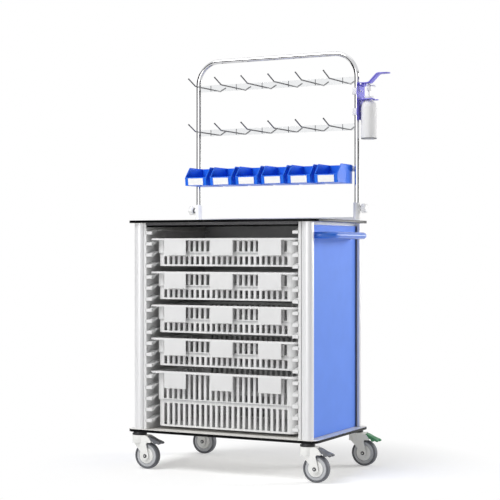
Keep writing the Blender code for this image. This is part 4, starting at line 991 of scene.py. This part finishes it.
class TROLLEY_OT_hook_rails(bpy.types.Operator):
    """Make the rails with their wire hooks"""

    bl_idname = "trolley.hook_rails"
    bl_label = "Hook rails"

    def execute(self, context):
        sizes = context.scene.trolley_sizes
        bar_height, bar_half, wire_drop, bend, tube = 0.025, 0.0015, 0.004, 0.012, 0.018
        tube_low, tube_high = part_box("rack_tube")
        y = middle_of("rack_tube").y
        pitch = (tube_high.x - tube_low.x - tube) / sizes.hook_count
        for level in ("upper", "lower"):
            node = f"hook_rail_{level}"
            low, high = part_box(node)
            top = low.z + bar_height
            z = (low.z + top) / 2 - wire_drop
            bar = block((low.x, y - bar_half, low.z), (high.x, y + bar_half, top), BAR_ROUND)
            end = (0, y - 0.1765, z + 0.022)
            line = [end, (0, y - 0.125, z), (0, y + 0.075, z), (0, y + 0.1195, z + 0.018)]
            wire = bent_tube(line, sizes.wire / 2, bend, "wire", 12, 5)
            clip = bent_tube([(0, y - 0.0028, low.z + 0.001), (0, y - 0.0028, top - 0.001)], 0.0013, 0.0, "wire", 10, 1)
            tip = turn([(0.0008, -0.003), (0.0024, -0.0022), (0.0031, 0), (0.0024, 0.0022), (0.0008, 0.003)], "Y", 12)
            first = (low.x + high.x) / 2 - (sizes.hook_count - 1) / 2 * pitch
            hooks = [repeated(shape, "wire", sizes.hook_count, (first, 0, 0), (pitch, 0, 0))
                     for shape in (wire, clip, shift(tip, end))]
            piece(node, "bar", "rack", [(bar, "clear"), *coated("wire", *hooks)])
        return {"FINISHED"}


def bin_parts(sizes, span):
    """Parts of a bin with its lowest corner at the origin: side cheeks, floor, walls, rolled edges and ribs."""
    wall, front, slant = sizes.bin_wall, sizes.bin_front, sizes.bin_slant
    foot, inside, rib_out, hook, hook_drop, hook_inset = 0.004, 0.0005, 0.0012, 0.0061, 0.0115, 0.006
    wide, deep, tall = span.x, span.y - hook, span.z

    def profile(points, low, high):
        return soften(extrude(points, "X", low, high), FINE_ROUND)

    cheek = [(foot, 0), (deep, 0), (deep, tall), (slant, tall), (0, front)]
    nose = [(foot, 0), (foot + wall, 0), (wall, front), (0, front)]
    lip = [(deep - 0.001, tall - wall), (span.y - wall, tall - wall), (span.y - wall, tall - hook_drop),
           (span.y, tall - hook_drop), (span.y, tall), (deep - 0.001, tall)]
    shapes = [profile(cheek, x, x + wall) for x in (0, wide - wall)]
    shapes += [block((inside, foot, 0), (wide - inside, deep, wall), FINE_ROUND),
               profile(nose, inside, wide - inside),
               block((inside, deep - wall, 0), (wide - inside, deep, tall), FINE_ROUND),
               profile(lip, hook_inset, wide - hook_inset),
               bent_tube([(x, wall * 0.6, front) for x in (0.001, wide - 0.001)], 0.0021, 0, "bin", 14, 1)]
    for x in (wall * 0.5, wide - wall * 0.5):
        line = [(x, wall * 0.5, front), (x, slant, tall - 0.0016), (x, deep - 0.004, tall - 0.0016)]
        shapes.append(bent_tube(line, 0.0019, 0.006, "bin", 12, 5))
    for x in (-rib_out, wide):
        rib = block((x, deep - 0.036, tall - 0.022), (x + rib_out, deep - 0.034, tall - 0.004), TRIM_ROUND)
        shapes.append(repeated(rib, "bin", 4, (0, 0, 0), (0, 0.009, 0)))
    lean = math.atan2(foot, front)
    card = spin_round(block((-0.0322, -0.0006, -0.0128), (0.0322, 0.0004, 0.0128), TRIM_ROUND), lean, "X")
    parts = coated("bin", *shapes) + coated("bin_card", shift(card, (wide / 2, foot / 2 - 0.0006, front / 2)))
    for x in (wide / 2 - 0.0345, wide / 2 + 0.0325):
        keeper = spin_round(block((x, -0.0014, -0.0125), (x + 0.002, 0.0008, 0.0125), 0.0004), lean, "X")
        parts += coated("bin", shift(keeper, (0, foot / 2 - 0.0004, front / 2)))
    return parts


class TROLLEY_OT_bins(bpy.types.Operator):
    """Make the hanging bins"""

    bl_idname = "trolley.bins"
    bl_label = "Bins"

    def execute(self, context):
        for i in range(1, 7):
            node = f"bin_{i}"
            low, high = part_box(node)
            piece(node, "moulding", node, placed(bin_parts(context.scene.trolley_sizes, high - low), low))
        return {"FINISHED"}


# Dispenser

def make_bracket(round_, axis, shelf_top, pin):
    """Bent sheet with a neck shelf, two ears for the lever's pin and four screws."""
    low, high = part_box("dispenser_bracket")
    axis_x, mid_y = axis
    root, tip = low.x + 0.001, high.x
    plan = round_rectangle(high.y - low.y, high.z - low.z, 0.008, 6)
    plate = soften(extrude([(u + mid_y, v + (low.z + high.z) / 2) for u, v in plan], "X", low.x, low.x + SHEET),
                   0.6 * round_)
    half, neck, corner = 0.030, 0.0131, 0.006
    plan = [(root, mid_y - half), (tip - corner, mid_y - half)]
    plan += arc((tip - corner, mid_y - half + corner), corner, -90, 0, 5) + [(tip, mid_y - neck)]
    plan += arc((axis_x, mid_y), neck, 270, 90, 16) + [(tip, mid_y + neck)]
    plan += arc((tip - corner, mid_y + half - corner), corner, 0, 90, 5) + [(root, mid_y + half)]
    shelf = soften(extrude(plan, "Z", shelf_top - SHEET, shelf_top), 0.5 * round_)
    parts = coated("violet", plate, shelf)
    pin_x, pin_z = pin.x, pin.z
    eye, ear_in, ear_out, head_at, screw_at, half_clamp = 0.0058, 0.0193, 0.0223, 0.0222, 0.008, 0.0125
    ear = [(root, pin_z - eye), (pin_x, pin_z - eye), *arc((pin_x, pin_z), eye, -90, 90, 8), (root, pin_z + eye)]
    for side in BOTH_WAYS:
        cheek = extrude(ear, "Y", *sorted((mid_y + side * ear_in, mid_y + side * ear_out)))
        head = turn([(0.0034, 0), (0.0034, 0.0008), (0.0024, 0.0014)], "Y", 20)
        parts += coated("violet", soften(cheek, 0.4 * round_))
        parts += placed(coated("steel", head), (pin_x, mid_y + side * head_at, pin_z), facing(side))
    rod = turn([(0.0025, -0.0205), (0.0025, 0.0205)], "Y", 20)
    parts += placed(coated("steel", rod), (pin_x, mid_y, pin_z))
    for level in ("upper", "lower"):
        for side in BOTH_WAYS:
            screw = turn([(0.0036, 0), (0.0036, 0.0008), (0.0022, 0.0016)], "X", 18)
            clamp_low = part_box(f"dispenser_clamp_{level}")[0]
            spot = (low.x + SHEET, mid_y + side * screw_at, clamp_low.z + half_clamp)
            parts += placed(coated("steel", screw), spot)
    piece("dispenser_bracket", "sheet", "rack", parts)


def make_clamps(round_):
    """White jaws round the rack's tube, each with a thin dark slab that paints the shade in its split."""
    for level in ("upper", "lower"):
        node = f"dispenser_clamp_{level}"
        low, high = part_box(node)
        x, y = middle_of(node).xy
        plan = round_rectangle(high.x - low.x, high.y - low.y, 0.0045)
        turns = [math.atan2(v, u) for u, v in plan]
        bore = [(BORE * math.cos(a), BORE * math.sin(a)) for a in turns]
        jaw = soften(tube_wall(plan, bore, low.z, high.z), 0.6 * round_, 60)
        # Dark slab painted where the split between the jaws lies in shade
        split = slab((low.x - 0.0004, y - 0.0008, low.z + 0.001), (low.x + 0.003, y + 0.0008, high.z - 0.001))
        piece(node, "jaw", "rack", [(shift(jaw, (x, y, 0)), "white"), (split, "dark")])


def make_lever(pin, tip_x):
    """Bent elbow lever with a barrel at its pivot and a broad rounded tip."""
    end, half_width, thick, bevel, bend = tip_x - pin.x, 0.019, SHEET / 2, 0.0007, 0.007
    level, rise = 0.006 - thick, 0.033
    line = [Vector(point) for point in ((0.001, 0, level), (0.0286, 0, level), (0.0616, 0, level + rise),
                                        (end, 0, level + rise))]
    path = [line[0]]
    for before, corner, after in zip(line, line[1:], line[2:]):
        start = corner + (before - corner).normalized() * bend
        stop = corner + (after - corner).normalized() * bend
        for t in (i / 8 for i in range(9)):
            path.append(start * (1 - t) ** 2 + corner * 2 * t * (1 - t) + stop * t * t)
    for i in range(1, 13):
        path.append(path[-1].lerp(line[-1], i / 12))
    loops = []
    for i, point in enumerate(path):
        ahead = (path[min(i + 1, len(path) - 1)] - path[max(i - 1, 0)]).normalized()
        up = Vector((-ahead.z, 0, ahead.x))
        past = max(0.0, point.x - (end - half_width)) / half_width
        half = half_width * math.sqrt(max(1 - past * past, 0.03))
        ring = [(-half + bevel, -thick), (half - bevel, -thick), (half, -thick + bevel), (half, thick - bevel),
                (half - bevel, thick), (-half + bevel, thick), (-half, thick - bevel), (-half, -thick + bevel)]
        loops.append([point + Vector((0, across, 0)) + up * lift for across, lift in ring])
    barrel = turn([(0.0029, -0.019), (0.0055, -0.019), (0.006, -0.0185), (0.006, 0.0185), (0.0055, 0.019),
                   (0.0029, 0.019)], "Y", 32, capped=False)
    piece("dispenser_lever", "blade", "lever", placed(coated("violet", skin(loops), barrel), pin))


def make_bottle(axis, shelf_top):
    """Bottle with a round shoulder and a sunken foot, and its ribbed collar on the shelf."""
    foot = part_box("bottle")[0].z
    radius, neck, well, dome = 0.0295, 0.0125, 0.0040, 0.036
    shoulder = shelf_top - 0.0033 - dome
    profile = [(0.004, foot + 0.003), (radius - 0.008, foot + 0.001), (radius - 0.005, foot),
               (radius - 0.0016, foot + 0.0012), (radius - 0.0004, foot + 0.004), (radius, foot + 0.0075),
               (radius, shoulder)]
    for i in range(1, 13):
        rise = math.radians(7.5 * i)
        profile.append((neck + (radius - neck) * math.cos(rise), shoulder + dome * math.sin(rise)))
    profile += [(neck, shelf_top + GAP), (well, shelf_top + GAP), (well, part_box("pump_head")[0].z - 0.017)]
    seat = shelf_top + 0.0004
    collar = [(well, seat), (0.0166, seat), (0.017, seat + 0.0005), (0.0168, seat + 0.0086), (0.0160, seat + 0.0099),
              (well, seat + 0.0099)]
    band = [(radius - 0.0003, foot + 0.0070), (radius + 0.0002, foot + 0.0073), (radius + 0.0002, foot + 0.0103),
            (radius - 0.0003, foot + 0.0106)]
    base = [(radius - 0.0062, foot), (radius - 0.0010, foot + 0.0006), (radius - 0.0001, foot + 0.0042),
            (radius - 0.0040, foot + 0.0042)]
    rib = spin_round(block((0.0164, -0.0005, 0.0012), (0.01715, 0.0005, 0.0086), 0.0002), math.pi / 2, "X")
    ribs = ringed(rib, "white", 36)
    ribs.transform(Matrix.Translation((0, 0, seat)) @ Matrix.Rotation(-math.pi / 2, 4, "X"))
    parts = [(turn(profile, sides=64), "bottle"), (turn(collar, capped=False), "white"),
             (turn(band, sides=64, capped=False), "card"), (turn(base, sides=64, capped=False), "slate"),
             (ribs, "white")]
    piece("bottle", "body", "rack", placed(parts, (*axis, 0)))


def make_pump(axis):
    """Plunger with a stem, a round head and a bent nozzle."""
    low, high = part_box("pump_head")
    top = high.z - 0.006
    under, nozzle_z = top - 0.021, top - 0.0033
    head = turn([(0.0035, low.z), (0.0035, under), (0.0072, under), (0.008, under + 0.0008), (0.008, top - 0.001),
                 (0.0074, top), (0.0050, top + 0.0032), (0.0030, top + 0.006)], sides=40)
    nozzle = bent_tube([(0.003, 0, nozzle_z), (0.0235, 0, nozzle_z), (0.0245, 0, nozzle_z - 0.006)], 0.0028, 0.003,
                       "white", 18, 5)
    piece("pump_head", "plunger", "pump", placed(coated("white", head, nozzle), (*axis, 0)))


class TROLLEY_OT_dispenser(bpy.types.Operator):
    """Make the elbow dispenser with its bottle"""

    bl_idname = "trolley.dispenser"
    bl_label = "Dispenser"

    def execute(self, context):
        collar, eye = 0.010, 0.006
        round_ = context.scene.trolley_sizes.edge_round
        lever_low, lever_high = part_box("dispenser_lever")
        axis = (middle_of("bottle").x, middle_of("dispenser_bracket").y)
        shelf_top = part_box("bottle")[1].z - collar - GAP
        pin = Vector((lever_low.x + eye, axis[1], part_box("dispenser_bracket")[1].z - eye))
        make_bracket(round_, axis, shelf_top, pin)
        make_clamps(round_)
        make_lever(pin, lever_high.x)
        make_bottle(axis, shelf_top)
        make_pump(axis)
        return {"FINISHED"}


# Casters

def make_mount(corner, crown):
    """Bearing housing: a narrow disc on a broad grooved one, with a pin below."""
    node = f"caster_mount_{corner}"
    bottom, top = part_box(node)
    radius, low, high = (top.x - bottom.x) / 2, crown + GAP, top.z
    pin, neck, step = 0.005, radius - 0.0040, high - 0.0045
    groove = (low + step) / 2
    ring = turn([(pin, bottom.z), (pin, low), (radius - 0.0036, low), (radius - 0.0008, low + 0.0006),
                 (radius, low + 0.0014), (radius, groove - 0.0006), (radius - 0.0008, groove - 0.0002),
                 (radius - 0.0008, groove + 0.0002), (radius, groove + 0.0006), (radius, step - 0.0014),
                 (radius - 0.0008, step - 0.0005), (radius - 0.0022, step), (neck + 0.0006, step),
                 (neck, step + 0.0006), (neck, high)], sides=64)
    piece(node, "ring", "cabinet", placed(coated("dark", ring), (*middle_of(node).xy, 0)))


def fork_shapes(crown, axle):
    """Round turret, hood over the tyre and slanting legs about the swivel axis, and a raised panel on each leg."""
    inside, outside, foot, turret, arch = 0.016, 0.020, 0.014, 0.0265, 0.057
    chin, skirt = crown - 0.029, crown - 0.0255
    side = [(-0.016, crown), (-0.016, chin + 0.004), *arc((TRAIL, axle), foot, 150, 380, 20),
            (TRAIL + 0.004, skirt - 0.006), (TRAIL + 0.006, skirt - 0.001), (TRAIL + 0.010, skirt), (0.055, skirt),
            (0.058, skirt + 0.002), (0.058, crown - 0.020), (0.052, crown - 0.0115), (0.0475, crown - 0.0062),
            (0.042, crown - 0.0024), (0.036, crown)]
    head = turn([(turret, chin), (turret, crown)], sides=64)
    body = carved(extrude(side, "Y", -outside, outside), [head], "UNION")
    wheel_space = shift(turn([(arch, -inside), (arch, inside)], "Y", 96), (TRAIL, 0, axle))
    notch = slab((0.036, -inside, 0.0), (0.200, inside, 0.300))
    shapes = [soften(carved(body, [wheel_space, notch]), 0.0012, 42)]
    panel = [(0.002, crown - 0.031), (0.0285, axle + 0.019), *arc((TRAIL, axle), 0.0092, 140, 400, 16),
             (0.0330, skirt - 0.014), (0.0255, skirt - 0.004)]
    for end in BOTH_WAYS:
        raised = extrude(panel, "Y", *sorted((end * (outside - 0.001), end * (outside + 0.0007))))
        shapes.append(soften(raised, 0.0005))
    return shapes


def make_axle(corner, spot):
    """Axle with dark domed caps and a bright socket in each."""
    half = 0.0200
    parts = coated("steel", turn([(0.004, -half), (0.004, half)], "Y", 24))
    for end in BOTH_WAYS:
        cap = turn([(0.0070, 0), (0.0070, 0.0012), (0.0064, 0.0022), (0.0034, 0.0029)], "Y", 36)
        socket = turn([(0.0030, 0.0010), (0.0030, 0.0030), (0.0022, 0.0030)], "Y", 6)
        parts += placed([(cap, "dark"), (socket, "steel")], (0, end * (half + GAP), 0), facing(end))
    piece(f"axle_{corner}", "bolt", f"fork_{corner}", placed(parts, spot))


def make_wheel(corner, spot):
    """Soft grey tyre with a rounded lip, a pale sunken rim and a raised white disc with ribs."""
    half = 0.014
    tyre = [(0.0405, half - 0.0058), (0.0407, half - 0.0016), (0.0413, half - 0.0004), (0.0425, half),
            (0.0448, half - 0.0009), (0.0466, half - 0.0034), (0.0477, half - 0.0075), (0.0480, 0.0)]
    rim = [(0.0272, half - 0.0068), (0.0300, half - 0.0068), (0.0306, half - 0.0040), (0.0392, half - 0.0046),
           (0.0396, half - 0.0066), (0.0407, half - 0.0066)]
    disc = [(0.0044, half - 0.0004), (0.0120, half - 0.0004), (0.0132, half - 0.0014), (0.0236, half - 0.0020),
            (0.0272, half - 0.0020), (0.0283, half - 0.0030), (0.0285, half - 0.0070)]
    parts = []
    for outline, look in ((tyre, "tread"), (rim, "rim"), (disc, "fork")):
        ring = outline + [(radius, -along) for radius, along in outline[::-1] if along]
        parts += coated(look, turn(ring, "Y", 80, capped=False))
    for end in BOTH_WAYS:
        rib = spin_round(block((0.0135, -0.0008, -0.0006), (0.0215, 0.0008, 0.0006), TRIM_ROUND), math.pi / 2, "X")
        parts += coated("fork", ringed(shift(rib, (0, end * (half - 0.0016), 0)), "fork", 16))
    piece(f"wheel_{corner}", "tyre", f"wheel_{corner}", placed(parts, spot))


def make_pedal(corner, kind, look):
    """Foot pedal with a round hub, a brake shoe below, a broad notched toe and grip ridges."""
    node = f"{kind}_{corner}"
    low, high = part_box(node)
    hub, thick, fall, half, wide = 0.006, 0.007, 0.0175, 0.0157, 0.020
    hub_x, hub_z = low.x + hub, high.z - hub
    reach = high.x - hub_x
    toe = reach - 0.013
    side = [*arc((0, 0), hub, 90, 270, 14), (0.009, -0.0082), (0.0195, -0.0128), (0.0215, -0.0172), (0.0238, -0.0202),
            (0.0280, -0.0214), (0.0318, -0.0200), (0.0338, -0.0172), (0.0352, -0.0152), (reach - 0.008, -fall - 0.0022),
            (reach - thick / 2, -fall - thick / 2), (reach - 0.001, -fall - 0.002), (reach, -fall),
            (reach - 0.001, -fall + 0.002), (reach - thick / 2, -fall + thick / 2 + 0.0004), (0.036, -0.0090),
            (0.022, -0.0030), (0.011, 0.0026), (0.005, 0.0052)]
    plan = [(-0.02, -half), (toe - 0.009, -half), (toe - 0.004, -half - 0.0012), (toe + 0.003, -wide + 0.0006),
            (toe + 0.008, -wide), (reach - 0.002, -wide + 0.0006), (reach + 0.001, -wide + 0.003),
            (reach + 0.001, -0.0095), (reach - 0.0075, -0.0014)]
    plan += [(u, -v) for u, v in plan[::-1]]
    body = carved(extrude(side, "Y", -0.03, 0.03), [extrude(plan, "Z", -0.06, 0.06)], "INTERSECT")
    ridge = block((-0.0006, -0.0125, -0.0007), (0.0006, 0.0125, 0.0007), TRIM_ROUND)
    ridge = spin_round(ridge, math.atan2(0.0060, 0.0140), "Y")
    ridges = repeated(ridge, look, 5, (0.0200, 0, -0.0020), (0.0035, 0, -0.00150))
    parts = placed(coated(look, soften(body, 0.0011, 44), ridges), (hub_x, middle_of(node).y, hub_z))
    piece(node, "foot", f"pedal_{corner}", parts, 32)


class TROLLEY_OT_casters(bpy.types.Operator):
    """Make the casters with their pedals"""

    bl_idname = "trolley.casters"
    bl_label = "Casters"

    def execute(self, context):
        axle, crown = middle_of("wheel_front_left").z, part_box("fork_front_left")[1].z
        pattern = coated("fork", *(to_mesh(shape) for shape in fork_shapes(crown, axle)))
        for corner in CORNERS:
            swivel = middle_of(f"caster_mount_{corner}")
            spot = (swivel.x + TRAIL, swivel.y, axle)
            make_mount(corner, crown)
            fork = placed_copy(pattern, (swivel.x, swivel.y, 0))
            piece(f"fork_{corner}", "moulding", f"fork_{corner}", fork, 32)
            make_axle(corner, spot)
            make_wheel(corner, spot)
            if corner in PEDALS:
                make_pedal(corner, *PEDALS[corner])
        return {"FINISHED"}


# Panel and registration

OPERATORS = (TROLLEY_OT_stage, TROLLEY_OT_boards, TROLLEY_OT_posts, TROLLEY_OT_walls, TROLLEY_OT_runners,
             TROLLEY_OT_baskets, TROLLEY_OT_handle, TROLLEY_OT_sockets, TROLLEY_OT_rack_tube, TROLLEY_OT_hook_rails,
             TROLLEY_OT_bins, TROLLEY_OT_dispenser, TROLLEY_OT_casters)
GROUPS = {"trolley_sizes": TrolleySizes, "trolley_colours": TrolleyColours, "trolley_stage": TrolleyStage}


class TROLLEY_PT_looks(bpy.types.Panel):
    """Sidebar panel that lists the sizes, the colours, the stage and the pieces."""

    bl_label = "Medication Trolley"
    bl_idname = "TROLLEY_PT_looks"
    bl_space_type = "VIEW_3D"
    bl_region_type = "UI"
    bl_category = "Trolley"

    def draw(self, context):
        for name in GROUPS:
            group = getattr(context.scene, name)
            box = self.layout.box()
            for field in group.__annotations__:
                box.prop(group, field)
        for operator in OPERATORS:
            self.layout.operator(operator.bl_idname)


def register():
    for name, group in GROUPS.items():
        bpy.utils.register_class(group)
        setattr(bpy.types.Scene, name, PointerProperty(type=group))
    for made in (*OPERATORS, TROLLEY_PT_looks):
        bpy.utils.register_class(made)


def unregister():
    for made in (TROLLEY_PT_looks, *reversed(OPERATORS)):
        bpy.utils.unregister_class(made)
    for name, group in reversed(GROUPS.items()):
        delattr(bpy.types.Scene, name)
        bpy.utils.unregister_class(group)


def main():
    register()
    for operator in OPERATORS:
        call = getattr(bpy.ops.trolley, operator.bl_idname.split(".")[1])
        call()


if __name__ == "__main__":
    main()
